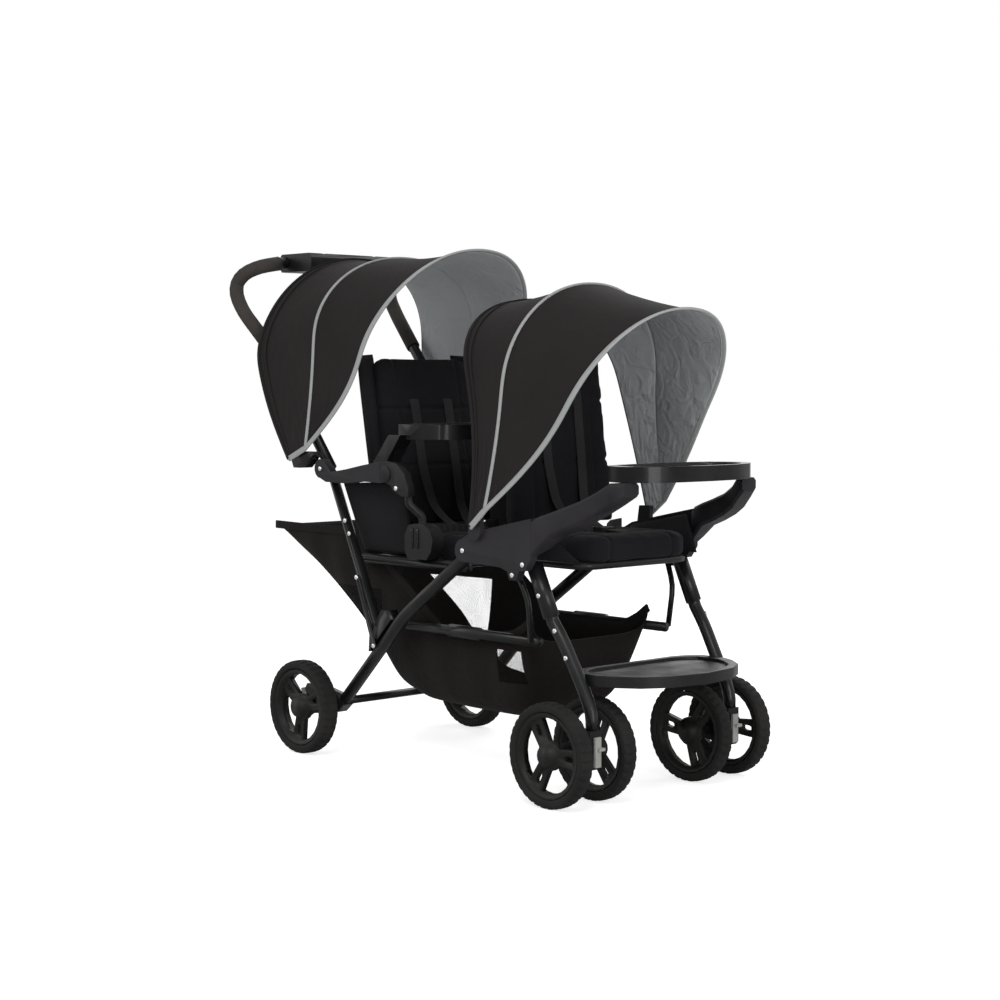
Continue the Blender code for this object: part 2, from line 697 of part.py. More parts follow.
def build_side_plates():
    """The charcoal plates over the fold pivot, each with its canopy clip and the arm that rises from it."""
    plate = arc(0.024, 95, 245, 7, FOLD_PIVOT)
    plate += [(0.560, 0.449), (0.623, 0.447), (0.642, 0.440), (0.648, 0.424), (0.668, 0.424), (0.676, 0.443),
              (0.692, 0.444), (PARTING_X, 0.468), (PARTING_X, 0.546), (0.620, 0.528), (0.537, 0.510)]
    # Stations of the arm: x, inner and outer distance from the middle, low and high
    arm_end = TRAY_Z - GAP
    stations = ((PARTING_X - 0.004, SIDE_INNER_Y + 0.0005, SIDE_OUTER_Y - 0.0005, 0.4705, 0.543),
                (0.730, 0.200, SIDE_OUTER_Y, 0.489, 0.552), (0.760, 0.188, 0.239, 0.514, 0.561),
                (0.790, 0.186, 0.2365, 0.525, 0.571), (0.825, 0.182, 0.230, 0.540, 0.584),
                (0.855, 0.172, 0.2195, 0.556, 0.600), (0.880, 0.158, 0.206, 0.574, arm_end),
                (0.905, 0.148, 0.190, 0.592, arm_end))
    clip_top = FRONT_FOOT[1] + CANOPY_START - 0.0008
    clip_x = FRONT_BOW_PIVOT[0]
    clip = [(clip_x + CLIP_R, clip_top), (clip_x - CLIP_R + 0.005, clip_top)]
    clip += arc(CLIP_R, 180, 360, 7, FRONT_BOW_PIVOT)
    for side in SIDES:
        arm = loft_mesh("arm", [arm_section(side, *station) for station in stations], True)
        pieces = [side_slab("plate", [plate], SIDE_INNER_Y, SIDE_OUTER_Y, side), helper("arm", arm),
                  side_slab("clip", [clip], SIDE_OUTER_Y - 0.002, CLIP_OUTER_Y, side)]
        pieces += [head(place, SIDE_OUTER_Y, RIVET_R, side) for place in PLATE_RIVETS]
        joined("arm_plate_" + side_name(side), "front_frame", pieces, MOLDED_GREY)


def build_front_frame():
    """Front legs in their sleeves, struts, the tube under the front seat and the footrest."""
    sleeve_top = at(SLEEVE_TOP, SLEEVE_Y)
    sleeve_end = at(SLEEVE_END, SLEEVE_Y - 0.001)
    along = (sleeve_end - sleeve_top).normalized()
    leg = rounded([sleeve_end + along * 0.012, at(LEG_BEND, 0.2025), at(LEG_KNEE, CASTER_HALF_TRACK),
                   (STEM_X, CASTER_HALF_TRACK, STEM_TOP_Z + 0.030),
                   (STEM_X, CASTER_HALF_TRACK, STEM_TOP_Z)], 0.02, 2)
    leg = [sleeve_top, sleeve_end, sleeve_end + along * 0.001] + leg
    radii = [SLEEVE_R] * 2 + [FRONT_LEG_R] * (len(leg) - 2)
    side_tubes("front_leg", "front_frame", leg, FRONT_LEG_R, TUBE_BLACK, 3, radii)
    strut = rounded([at(STRUT_TOP, SIDE_INNER_Y - GAP - STRUT_R), at(STRUT_KNEE, 0.208),
                     at(LOWER_PIVOT, LOWER_RAIL_Y + LOWER_RAIL_R + GAP + STRUT_R)], 0.02, 2)
    side_tubes("front_strut", "front_frame", strut, STRUT_R, TUBE_BLACK, 2)
    rear_x, front_x = FRONT_SEAT_TUBE_X
    side_y = SEAT_HALF_W - SEAT_TUBE_R
    half = [(rear_x, SIDE_INNER_Y - GAP, FRONT_SEAT_TUBE_Z), (rear_x, side_y, FRONT_SEAT_TUBE_Z),
            (front_x, side_y, FRONT_SEAT_TUBE_Z)]
    right_half = [(x, -y, z) for x, y, z in half]
    seat_tube = rounded(right_half + half[::-1], 0.030, 3)
    tube("front_seat_frame", "front_frame", [seat_tube], SEAT_TUBE_R, TUBE_BLACK, 2)
    plan = mirrored_plan(FOOTREST_PLAN)
    top = FOOTREST_Z + FOOTREST_T
    tread = board("footrest", [plan], FOOTREST_Z, top)
    dish = board("dish", [inset_plan(plan, DISH_SHARE)], top - DISH_DEPTH, top + 0.01)
    finished(combine(tread, dish, "DIFFERENCE"), "footrest", "front_frame", MOLDED_BLACK)


def build_front_tray():
    """A tray across the front seat with two cup rings, which swings about its left end."""
    plan = mirrored_plan(TRAY_PLAN)
    top = TRAY_Z + TRAY_T
    tray = board("front_tray", [plan], TRAY_Z, top)
    dish = board("dish", [inset_plan(plan, DISH_SHARE)], top - DISH_DEPTH, top + 0.01)
    tray = combine(tray, dish, "DIFFERENCE")
    for side in SIDES:
        centre = (CUP_RING_X, side * CUP_RING_Y, top - CUP_RING_DEPTH + 0.02)
        tray = combine(tray, rod("cup_ring", centre, CUP_RING_R, 0.04, "Z", 20), "DIFFERENCE")
    finished(tray, "front_tray", "front_tray", MOLDED_BLACK)


def build_rear_frame():
    """Rear legs, uprights, seat rails, axle and what joins them."""
    bends = (REAR_LEG_TOP, REAR_LEG_BEND, REAR_LEG_FOOT)
    leg = rounded([at(bend, REAR_LEG_Y) for bend in bends], 0.02, 2)
    side_tubes("rear_leg", "rear_frame", leg, REAR_LEG_R, TUBE_BLACK)
    build_uprights()
    rear_x, front_x = SEAT_RAIL_X
    rail = [(rear_x, SEAT_RAIL_Y, SEAT_RAIL_Z), (front_x, SEAT_RAIL_Y, SEAT_RAIL_Z)]
    pieces = [tube_helper("rail", [path], SEAT_RAIL_R) for path in both_sides(rail)]
    for x in SEAT_CROSS_X:
        pieces.append(rod("cross_tube", (x, 0, SEAT_RAIL_Z), SEAT_TUBE_R, 2 * SEAT_RAIL_Y, "Y", 12))
    upright_x = height_on(UPRIGHT_TOP, UPRIGHT_FOOT, SEAT_RAIL_Z)
    leg_x = height_on(REAR_LEG_BEND, REAR_LEG_TOP, SEAT_RAIL_Z)
    for side in SIDES:
        for x, outer in ((upright_x, UPRIGHT_Y - UPRIGHT_R - GAP), (leg_x, REAR_LEG_IN - GAP)):
            y = side * (SEAT_RAIL_Y + outer) / 2
            pieces.append(rod("spacer", (x, y, SEAT_RAIL_Z), PEG_R, outer - SEAT_RAIL_Y, "Y", 12))
    joined("seat_rails", "rear_frame", pieces, TUBE_BLACK)
    tube_end = REAR_LEG_IN - 0.001
    axle_end = REAR_HALF_TRACK - REAR_TYRE_W / 2 + HUB_BORE_DEPTH - 0.001
    axle_y = (-axle_end, -tube_end, -tube_end + 0.0005, tube_end - 0.0005, tube_end, axle_end)
    axle = tube_helper("axle", [[(0, y, WHEEL_R) for y in axle_y]], AXLE_TUBE_R, 3,
                       [AXLE_R, AXLE_R, AXLE_TUBE_R, AXLE_TUBE_R, AXLE_R, AXLE_R])
    lower, upper = beside_end(REAR_LEG_BEND, REAR_LEG_FOOT, REAR_LEG_R)
    bracket = [lower, upper, (0.020, 0.146), (-0.020, 0.148), (-0.028, 0.136), (-0.018, 0.106)]
    bracket += arc(0.018, 185, 275, 5, (0, WHEEL_R)) + [(0.085, 0.096)]
    brackets = [side_slab("bracket", [bracket], REAR_LEG_IN, SIDE_INNER_Y - GAP, side) for side in SIDES]
    joined("rear_axle", "rear_frame", [axle] + brackets, MOLDED_BLACK)


def build_uprights():
    """The uprights beside the rear seat, each with its gusset over the rear leg and its latch link."""
    foot = Vector(UPRIGHT_FOOT)
    down = (foot - Vector(UPRIGHT_TOP)).normalized()
    front_foot, rear_foot = beside_end(UPRIGHT_TOP, UPRIGHT_FOOT, UPRIGHT_R)
    leg_top = Vector(REAR_LEG_BEND)
    leg_foot = Vector(REAR_LEG_FOOT)
    along = (leg_top - leg_foot).normalized()
    above_leg = Vector((-along.y, along.x)) * (REAR_LEG_R + GAP)
    low = leg_foot.lerp(leg_top, 0.53) + above_leg
    high = leg_foot.lerp(leg_top, 0.90) + above_leg
    gusset = [rear_foot, tuple(low), tuple(high), (high.x - 0.008, high.y + 0.019),
              (front_foot[0] + 0.018, front_foot[1] + 0.023), front_foot]
    link_top = Vector(LINK_TOP)
    link_foot = Vector(LINK_FOOT)
    angle = math.degrees(math.atan2(link_top.y - link_foot.y, link_top.x - link_foot.x))
    link = arc(LINK_HALF_W, angle - 90, angle + 90, 5, link_top)
    link += arc(LINK_HALF_W, angle + 90, angle + 270, 5, link_foot)
    face = SIDE_INNER_Y + LINK_T
    for side in SIDES:
        path = [at(UPRIGHT_TOP, side * UPRIGHT_Y), at(foot + down * 0.006, side * UPRIGHT_Y)]
        pieces = [tube_helper("upright", [path], UPRIGHT_R),
                  side_slab("gusset", [gusset], REAR_LEG_IN + 0.001, SIDE_INNER_Y - 0.001, side),
                  head(LINK_TOP, face, RIVET_R, side, face - UPRIGHT_Y),
                  side_slab("link", [link], SIDE_INNER_Y, face, side), head(LINK_FOOT, face, RIVET_R, side)]
        joined("rear_upright_" + side_name(side), "rear_frame", pieces, TUBE_BLACK)


def build_rear_sides():
    """The side moldings beside the rear seat, the elbows in front of them and the rear tray."""
    molding = arc(KNOB_R, 60, 270, 9, HANDLE_PIVOT)
    molding += [(0.072, 0.594), (0.140, 0.593), (0.197, 0.599), (MOLDING_END_X, 0.598),
                (MOLDING_END_X, 0.642),
                (0.200, 0.634), (0.140, 0.623), (0.090, 0.616)]
    elbow_x = MOLDING_END_X + GAP
    elbow_low = 0.573
    elbow = [(elbow_x, 0.642), (elbow_x, 0.598), (0.272, 0.5995), (0.290, 0.594), (0.296, 0.584),
             (0.325, elbow_low), (0.345, elbow_low), (0.346, 0.590), (0.333, 0.620),
             (0.308, 0.640), (0.280, 0.644)]
    housing_top = 0.5165
    housing_low = SEAT_RAIL_Z + SEAT_RAIL_R + GAP
    housing = [(0.312, housing_low), (0.304, 0.460), (0.303, 0.490), (0.314, 0.512), (0.335, housing_top),
               (0.362, housing_top), (0.382, 0.506), (0.392, 0.484), (0.386, 0.460), (0.372, housing_low)]
    plan = mirrored_plan(REAR_TRAY_PLAN)
    top = REAR_TRAY_Z + REAR_TRAY_T
    tray = board("rear_tray", [plan], REAR_TRAY_Z, top)
    dish = board("dish", [inset_plan(plan, DISH_SHARE)], top - DISH_DEPTH, top + 0.01)
    tray = combine(tray, dish, "DIFFERENCE")
    arm_top = REAR_TRAY_Z + 0.010
    arm = [(0.188, 0.612), (0.245, 0.612), (0.262, 0.650), (0.300, arm_top), (0.262, arm_top), (0.225, 0.655)]
    for side in SIDES:
        end = "_" + side_name(side)
        pieces = [side_slab("molding", [molding], SIDE_INNER_Y, SIDE_OUTER_Y, side),
                  head(HANDLE_PIVOT, SIDE_OUTER_Y, RIVET_R, side)]
        joined("side_molding" + end, "rear_frame", pieces, MOLDED_GREY)
        post = [(0.336, side * 0.231, elbow_low + 0.006), (0.336, side * 0.231, elbow_low - 0.015),
                (0.350, side * 0.205, housing_top + 0.014), (0.350, side * 0.205, housing_top - 0.006)]
        pieces = [side_slab("elbow", [elbow], SIDE_INNER_Y, SIDE_OUTER_Y, side),
                  tube_helper("post", [rounded(post, 0.006, 2)], POST_R, 2),
                  side_slab("housing", [housing], 0.182, 0.214, side),
                  head(HINGE_DISC, SIDE_OUTER_Y, HINGE_DISC_R, side),
                  head((0.308, 0.589), SIDE_OUTER_Y, RIVET_R, side)]
        joined("elbow_arm" + end, "rear_frame", pieces, MOLDED_BLACK)
        arm_slab = side_slab("tray_arm", [arm], REAR_TRAY_ARM_IN, SIDE_INNER_Y - GAP, side)
        tray = combine(tray, arm_slab, "UNION")
    finished(tray, "rear_tray", "rear_frame", MOLDED_BLACK)


def back_slab(name, crease, height, lean):
    """A backrest that narrows to rounded top corners and leans back from its lower rear edge."""
    corner_z = height - BACK_CORNER
    right = [(-SEAT_HALF_W, 0.0), (-BACK_TOP_HALF_W, corner_z),
             (-BACK_TOP_HALF_W + BACK_CORNER * 0.3, height - BACK_CORNER * 0.3),
             (-BACK_TOP_HALF_W + BACK_CORNER, height)]
    outline = right + [(-y, z) for y, z in right[::-1]]
    matrix = Matrix(((0, -math.sin(lean), 1, crease[0] + BACK_T / 2), (1, 0, 0, 0),
                     (0, math.cos(lean), 0, crease[1] + GAP), (0, 0, 0, 1)))
    finished(placed_outline(name, [outline], BACK_T, matrix), name, name, SEAT_CLOTH)


def pad_slab(name, body, x_range, low_z):
    """A seat pad with rounded front corners."""
    rear_x, front_x = x_range
    half = [(front_x, 0.0), (front_x, SEAT_HALF_W - 0.04), (front_x - 0.012, SEAT_HALF_W - 0.012),
            (front_x - 0.04, SEAT_HALF_W), (rear_x, SEAT_HALF_W), (rear_x, 0.0)]
    finished(board(name, [mirrored_plan(half)], low_z, low_z + SEAT_PAD_T), name, body, SEAT_CLOTH)


def build_seat(name, body, x_range, low_z, crease, height, lean):
    """One seat: its pad, its backrest, and the harness buckle with its round button."""
    pad_slab(name + "_seat_pad", body, x_range, low_z)
    back_slab(name + "_backrest", crease, height, lean)
    length, width, thick = BUCKLE_SIZE
    centre_x = crease[0] + BUCKLE_FORWARD
    floor_z = crease[1] + GAP
    top_z = floor_z + thick
    buckle = box("buckle", (centre_x - length / 2, -width / 2, floor_z),
                 (centre_x + length / 2, width / 2, top_z))
    pocket = rod("pocket", (centre_x, 0, top_z - BUTTON_POCKET + 0.01), BUTTON_R + GAP, 0.02, "Z")
    finished(combine(buckle, pocket, "DIFFERENCE"), name + "_buckle", body, MOLDED_BLACK)
    button_low = top_z - BUTTON_POCKET + BUTTON_TRAVEL + GAP
    button_high = top_z + BUTTON_PROUD
    button_z = (button_low + button_high) / 2
    button = rod("button", (centre_x, 0, button_z), BUTTON_R, button_high - button_low, "Z")
    finished(button, name + "_buckle_button", name + "_buckle_button", MOLDED_GREY)


def build_lower_rails():
    """The rails beside the basket, thicker at their joiner, with a peg at the rear against the leg."""
    rear_x, front_x = LOWER_RAIL_X
    z = LOWER_PIVOT[1]
    low_x, high_x = JOINER_X
    taper = JOINER_R - LOWER_RAIL_R
    stations = (rear_x, low_x - taper, low_x, high_x, high_x + taper, front_x)
    radii = [LOWER_RAIL_R, LOWER_RAIL_R, JOINER_R, JOINER_R, LOWER_RAIL_R, LOWER_RAIL_R]
    outer = REAR_LEG_IN - GAP
    for side in SIDES:
        rail = tube_helper("rail", [[(x, side * LOWER_RAIL_Y, z) for x in stations]], LOWER_RAIL_R, 3, radii)
        peg_place = (rear_x + 0.008, side * (LOWER_RAIL_Y + outer) / 2, z)
        peg = rod("peg", peg_place, PEG_R, outer - LOWER_RAIL_Y, "Y", 12)
        joined("lower_rail_" + side_name(side), "lower_rails", [rail, peg], TUBE_BLACK)


def build_handle():
    """The push handle with the clips that carry its canopy, and its grips."""
    left = handle_side()
    right = [Vector((p.x, -p.y, p.z)) for p in left]
    clip_top = REAR_FOOT[1] + CANOPY_START - 0.0008
    clip = [(-0.040, 0.644), (-0.030, 0.622), (-0.006, 0.622), (0.012, 0.636),
            (0.031, clip_top), (-0.036, clip_top)]
    clips = [side_slab("clip", [clip], HANDLE_Y + 0.006, CLIP_OUTER_Y, side) for side in SIDES]
    bar = tube_helper("handle", [right + left[::-1]], HANDLE_R)
    joined("handle_tube", "handle", [bar] + clips, TUBE_BLACK)
    grip_start = Vector(HANDLE_PATH[0]).lerp(Vector(HANDLE_PATH[1]), 0.2)
    grip_end = Vector(HANDLE_PATH[-2]).lerp(Vector(HANDLE_PATH[-1]), 0.8)
    grip = rounded([grip_start, *HANDLE_PATH[1:-1], grip_end], HANDLE_BEND, 3)
    for side, path in zip(SIDES, both_sides(grip)):
        sleeve = thickened(tube_helper("grip", [path], GRIP_BORE_R, 3, caps=False), GRIP_R - GRIP_BORE_R, 1)
        finished(sleeve, "handle_grip_" + side_name(side), "handle", GRIP_FOAM)


def build_console():
    """A console through which the cross bar runs: two cup wells, a lidded store and the fold trigger."""
    rear_x, front_x = CONSOLE_X
    low_z, high_z = CONSOLE_Z
    cut = CONSOLE_EDGE
    outline = [(rear_x + cut, low_z), (front_x - cut, low_z), (front_x, low_z + cut), (front_x, high_z - cut),
               (front_x - cut, high_z), (rear_x + cut, high_z), (rear_x, high_z - cut), (rear_x, low_z + cut)]
    console = slab("console", [outline], -CONSOLE_HALF_L, CONSOLE_HALF_L)
    bar = HANDLE_PATH[-1]
    bore = rod("bar_bore", (bar[0], 0, bar[2]), HANDLE_R + GAP * 1.5, 3 * CONSOLE_HALF_L)
    console = combine(console, bore, "DIFFERENCE")
    for side in SIDES:
        centre = (CUP_WELL_X, side * CUP_WELL_Y, high_z - CUP_WELL_DEPTH + 0.05)
        console = combine(console, rod("well", centre, CUP_WELL_R, 0.1, "Z", 20), "DIFFERENCE")
    lid_low = high_z - LID_T
    room = box("lid_room", (LID_X[0] - GAP, -LID_HALF_W - GAP, lid_low - GAP),
               (LID_X[1] + GAP, LID_HALF_W + GAP, high_z + 0.01))
    console = combine(console, room, "DIFFERENCE")
    store = box("store", (LID_X[0] + LID_LEDGE, -LID_HALF_W + LID_LEDGE, lid_low - STORE_DEPTH),
                (LID_X[1] - LID_LEDGE, LID_HALF_W - LID_LEDGE, high_z))
    console = combine(console, store, "DIFFERENCE")
    trigger_room = box("trigger_room", (TRIGGER_X[0] - GAP, -TRIGGER_HALF_W - GAP, low_z - 0.01),
                       (TRIGGER_X[1] + GAP, TRIGGER_HALF_W + GAP, low_z + TRIGGER_ROOM))
    console = combine(console, trigger_room, "DIFFERENCE")
    finished(console, "console", "handle", MOLDED_BLACK)
    lid = box("console_lid", (LID_X[0], -LID_HALF_W, lid_low), (LID_X[1], LID_HALF_W, high_z))
    finished(lid, "console_lid", "console_lid", MOLDED_GREY)
    trigger_low = low_z - TRIGGER_DROP
    trigger = box("fold_trigger", (TRIGGER_X[0], -TRIGGER_HALF_W, trigger_low),
                  (TRIGGER_X[1], TRIGGER_HALF_W, trigger_low + TRIGGER_T))
    finished(trigger, "fold_trigger", "fold_trigger", LEVER_GREY)


def canopy_edge(foot, edge, lift, drop=0.0):
    """One edge of a canopy, from its right foot over the crown to its left foot. Its legs rise straight
    from the foot to the shoulder while they draw in, and its arch is half an ellipse over them."""
    shoulder, crown, half_w = edge
    half_w -= drop
    start = lift / (shoulder[1] - foot[1])
    left = []
    for i in range(5):
        t = start + (1 - start) * i / 5
        y = half_w + (CANOPY_FOOT_Y - drop - half_w) * (1 - t) ** 1.6
        left.append((foot[0] + (shoulder[0] - foot[0]) * t, y, foot[1] + (shoulder[1] - foot[1]) * t))
    rise = math.hypot(crown[0] - shoulder[0], crown[1] - shoulder[1])
    for i in range(8):
        angle = math.pi / 2 * i / 7
        share = math.sin(angle) * (1 - drop / rise)
        left.append((shoulder[0] + (crown[0] - shoulder[0]) * share, half_w * math.cos(angle),
                     shoulder[1] + (crown[1] - shoulder[1]) * share))
    return [(x, -y, z) for x, y, z in left[:-1]] + left[::-1]


def between(first, second, share):
    """The line that lies at a share of the way from one line to another."""
    return [tuple(a + (b - a) * share for a, b in zip(p, q)) for p, q in zip(first, second)]


def canopy_panel(name, body, foot, first, second, first_share, last_share):
    """A panel of cloth between two edges."""
    start = canopy_edge(foot, first, CANOPY_START)
    end = canopy_edge(foot, second, CANOPY_START)
    rows = [between(start, end, share) for share in (first_share, 0.33, 0.67, last_share)]
    finished(thickened(helper(name, loft_mesh(name, rows, False)), CANOPY_T, 0), name, body, CANOPY_CLOTH)


def build_canopies():
    """Two canopies, each with a front panel from the rim to the middle bow and a rear panel."""
    last_share, first_share = SEAM_SHARES
    for name, foot, edges in (("rear", REAR_FOOT, REAR_EDGES), ("front", FRONT_FOOT, FRONT_EDGES)):
        canopy_panel(name + "_canopy_front_panel", name + "_canopy_front", foot, edges["rim"], edges["mid"],
                     0.0, last_share)
        canopy_panel(name + "_canopy_rear_panel", name + "_canopy_mid", foot, edges["mid"], edges["back"],
                     first_share, 1.0)


def build_basket():
    """A sagging basket, open at the top; its bottom rises to the rim at both ends."""
    sections = []
    for x, rim_z, low_z in BASKET_STATIONS:
        depth = rim_z - low_z
        flare = BASKET_HALF_W - BASKET_BOTTOM_HALF_W
        low_w = BASKET_BOTTOM_HALF_W + flare * (1 - min(1.0, depth / BASKET_FULL_DEPTH))
        corner = min(0.03, depth * 0.4)
        left = [(x, BASKET_HALF_W, rim_z), (x, (BASKET_HALF_W + low_w) / 2, rim_z - depth * 0.5),
                (x, low_w, low_z + corner), (x, low_w - corner, low_z), (x, 0.0, low_z - 0.001)]
        sections.append([(px, -py, pz) for px, py, pz in left[:-1]] + left[::-1])
    shell = thickened(helper("basket", loft_mesh("basket", sections, False)), BASKET_T, 0)
    finished(shell, "basket", "rear_frame", BASKET_CLOTH)


def build_brakes():
    """A foot pedal inside each rear wheel's bracket."""
    x, z = PEDAL_PIVOT
    tip_x = x - PEDAL_REACH
    lever = arc(PEDAL_EYE_R, 90, -90, 6, PEDAL_PIVOT)
    lever += [(x - 0.030, z - 0.010), (tip_x, z - 0.016), (tip_x - 0.004, z - 0.004), (x - 0.030, z + 0.004)]
    for side in SIDES:
        name = "brake_pedal_" + side_name(side)
        finished(side_slab(name, [lever], PEDAL_IN_Y, REAR_LEG_IN - GAP, side), name, name, LEVER_GREY)


def build_stroller():
    build_pivots()
    build_wheels()
    build_casters()
    build_side_plates()
    build_front_frame()
    build_front_tray()
    build_rear_frame()
    build_rear_sides()
    build_seat("rear", "rear_frame", REAR_SEAT_X, REAR_PAD_Z, REAR_CREASE, REAR_BACK_H, REAR_BACK_LEAN)
    build_seat("front", "front_frame", FRONT_SEAT_X, FRONT_PAD_Z, FRONT_CREASE, FRONT_BACK_H, FRONT_BACK_LEAN)
    build_lower_rails()
    build_handle()
    build_console()
    build_canopies()
    build_basket()
    build_brakes()


build_stroller()
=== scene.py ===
import json
import math

import bmesh
import bpy
import numpy as np
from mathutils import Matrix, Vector


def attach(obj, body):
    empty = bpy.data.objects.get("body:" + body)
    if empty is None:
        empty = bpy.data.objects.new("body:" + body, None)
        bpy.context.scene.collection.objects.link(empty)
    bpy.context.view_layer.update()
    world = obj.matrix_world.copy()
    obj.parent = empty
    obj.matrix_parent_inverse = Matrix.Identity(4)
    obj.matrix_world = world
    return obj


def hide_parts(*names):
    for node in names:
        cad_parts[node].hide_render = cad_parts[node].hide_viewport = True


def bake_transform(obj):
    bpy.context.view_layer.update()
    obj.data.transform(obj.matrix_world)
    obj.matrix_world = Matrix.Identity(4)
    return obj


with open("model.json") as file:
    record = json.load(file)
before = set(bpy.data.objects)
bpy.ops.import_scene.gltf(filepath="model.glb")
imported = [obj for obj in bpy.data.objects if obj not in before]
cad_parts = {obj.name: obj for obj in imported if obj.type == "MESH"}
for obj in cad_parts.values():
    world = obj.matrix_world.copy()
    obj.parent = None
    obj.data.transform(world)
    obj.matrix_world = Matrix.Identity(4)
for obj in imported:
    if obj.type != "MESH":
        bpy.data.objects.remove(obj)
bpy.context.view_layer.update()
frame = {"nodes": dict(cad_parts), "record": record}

# Places along the stroller are measured from the rear axle, as in the part's source.
MIDDLE_X = 0.33533
SIDES = (("right", -1), ("left", 1))
# Points closer than this are one point
WELD = 0.00002


def place(x, y, z):
    """A point in the frame, from its distance to the rear axle, to the middle plane and to the floor."""
    return np.array((x - MIDDLE_X, y, z))


# Materials

def group(name, inputs, outputs):
    """An empty shader node group with named sockets, and its input and output nodes."""
    tree = bpy.data.node_groups.new(name, "ShaderNodeTree")
    for label, kind, value in inputs:
        socket = tree.interface.new_socket(label, in_out="INPUT", socket_type="NodeSocket" + kind)
        socket.default_value = value
    for label, kind in outputs:
        tree.interface.new_socket(label, in_out="OUTPUT", socket_type="NodeSocket" + kind)
    return tree, tree.nodes.new("NodeGroupInput"), tree.nodes.new("NodeGroupOutput")


def node(tree, kind, links=(), **values):
    """A shader node; links feed its inputs from (output socket, input) pairs."""
    made = tree.nodes.new("ShaderNode" + kind)
    for key, value in values.items():
        setattr(made, key, value)
    for source, target in links:
        if isinstance(source, (int, float)):
            made.inputs[target].default_value = source
        else:
            tree.links.new(source, made.inputs[target])
    return made


def calc(tree, operation, first, second=0.0):
    """The result of one Math node."""
    return node(tree, "Math", [(first, 0), (second, 1)], operation=operation).outputs[0]


def molded_group():
    """Fine grain and soft scuffs for plastic, paint, foam and rubber."""
    tree, source, out = group("molded", [("Base", "Color", (0, 0, 0, 1)), ("Worn", "Color", (0, 0, 0, 1)),
                                         ("Grain", "Float", 900.0), ("Depth", "Float", 0.0001),
                                         ("Smooth", "Float", 0.4), ("Rough", "Float", 0.6)],
                              [("Color", "Color"), ("Roughness", "Float"), ("Normal", "Vector")])
    spot = node(tree, "TexCoord").outputs["Object"]
    cloud = node(tree, "TexNoise", [(spot, "Vector"), (14.0, "Scale"), (6.0, "Detail")]).outputs["Fac"]
    scuff = node(tree, "MapRange", [(cloud, 0), (0.38, 1), (0.68, 2)]).outputs[0]
    grain = node(tree, "TexNoise", [(spot, "Vector"), (source.outputs["Grain"], "Scale"), (2.0, "Detail")])
    colour = node(tree, "Mix", [(scuff, 0), (source.outputs["Base"], 6), (source.outputs["Worn"], 7)],
                  data_type="RGBA").outputs[2]
    rough = node(tree, "MapRange", [(scuff, 0), (source.outputs["Smooth"], 3), (source.outputs["Rough"], 4)])
    bump = node(tree, "Bump", [(0.6, "Strength"), (source.outputs["Depth"], "Distance"),
                               (grain.outputs["Fac"], "Height")])
    tree.links.new(colour, out.inputs["Color"])
    tree.links.new(rough.outputs[0], out.inputs["Roughness"])
    tree.links.new(bump.outputs[0], out.inputs["Normal"])
    return tree


def weave_group():
    """Crossed threads with uneven dye and soft creases for cloth."""
    tree, source, out = group("weave", [("Base", "Color", (0, 0, 0, 1)), ("Thread", "Color", (0, 0, 0, 1)),
                                        ("Count", "Float", 3000.0), ("Crease", "Float", 0.0015)],
                              [("Color", "Color"), ("Normal", "Vector")])
    spot = node(tree, "TexCoord").outputs["Object"]
    axes = node(tree, "SeparateXYZ", [(spot, 0)])
    waves = []
    for axis in (0, 1):
        line = calc(tree, "ADD", axes.outputs[axis], axes.outputs[2])
        waves.append(calc(tree, "SINE", calc(tree, "MULTIPLY", line, source.outputs["Count"])))
    cross = calc(tree, "MULTIPLY", *waves)
    thread = node(tree, "MapRange", [(cross, 0), (-1.0, 1)]).outputs[0]
    cloud = node(tree, "TexNoise", [(spot, "Vector"), (9.0, "Scale"), (5.0, "Detail")]).outputs["Fac"]
    share = calc(tree, "MULTIPLY", thread, cloud)
    colour = node(tree, "Mix", [(share, 0), (source.outputs["Base"], 6), (source.outputs["Thread"], 7)],
                  data_type="RGBA").outputs[2]
    fine = node(tree, "Bump", [(0.5, "Strength"), (0.0002, "Distance"), (thread, "Height")])
    crease = node(tree, "TexNoise", [(spot, "Vector"), (22.0, "Scale"), (3.0, "Detail"), (1.2, "Distortion")])
    bump = node(tree, "Bump", [(0.7, "Strength"), (source.outputs["Crease"], "Distance"),
                               (crease.outputs["Fac"], "Height"), (fine.outputs[0], "Normal")])
    tree.links.new(colour, out.inputs["Color"])
    tree.links.new(bump.outputs[0], out.inputs["Normal"])
    return tree


# Net windows in the basket: from x to x, from z to z, and the side walls that have them
WINDOWS = ((-0.03, 0.165, 0.25, 0.365, "both"), (0.53, 0.598, 0.205, 0.272, "right"),
           (0.03, 0.32, 0.14, 0.235, "left"))
# Cloth farther out than this belongs to a side wall
WALL_Y = 0.135


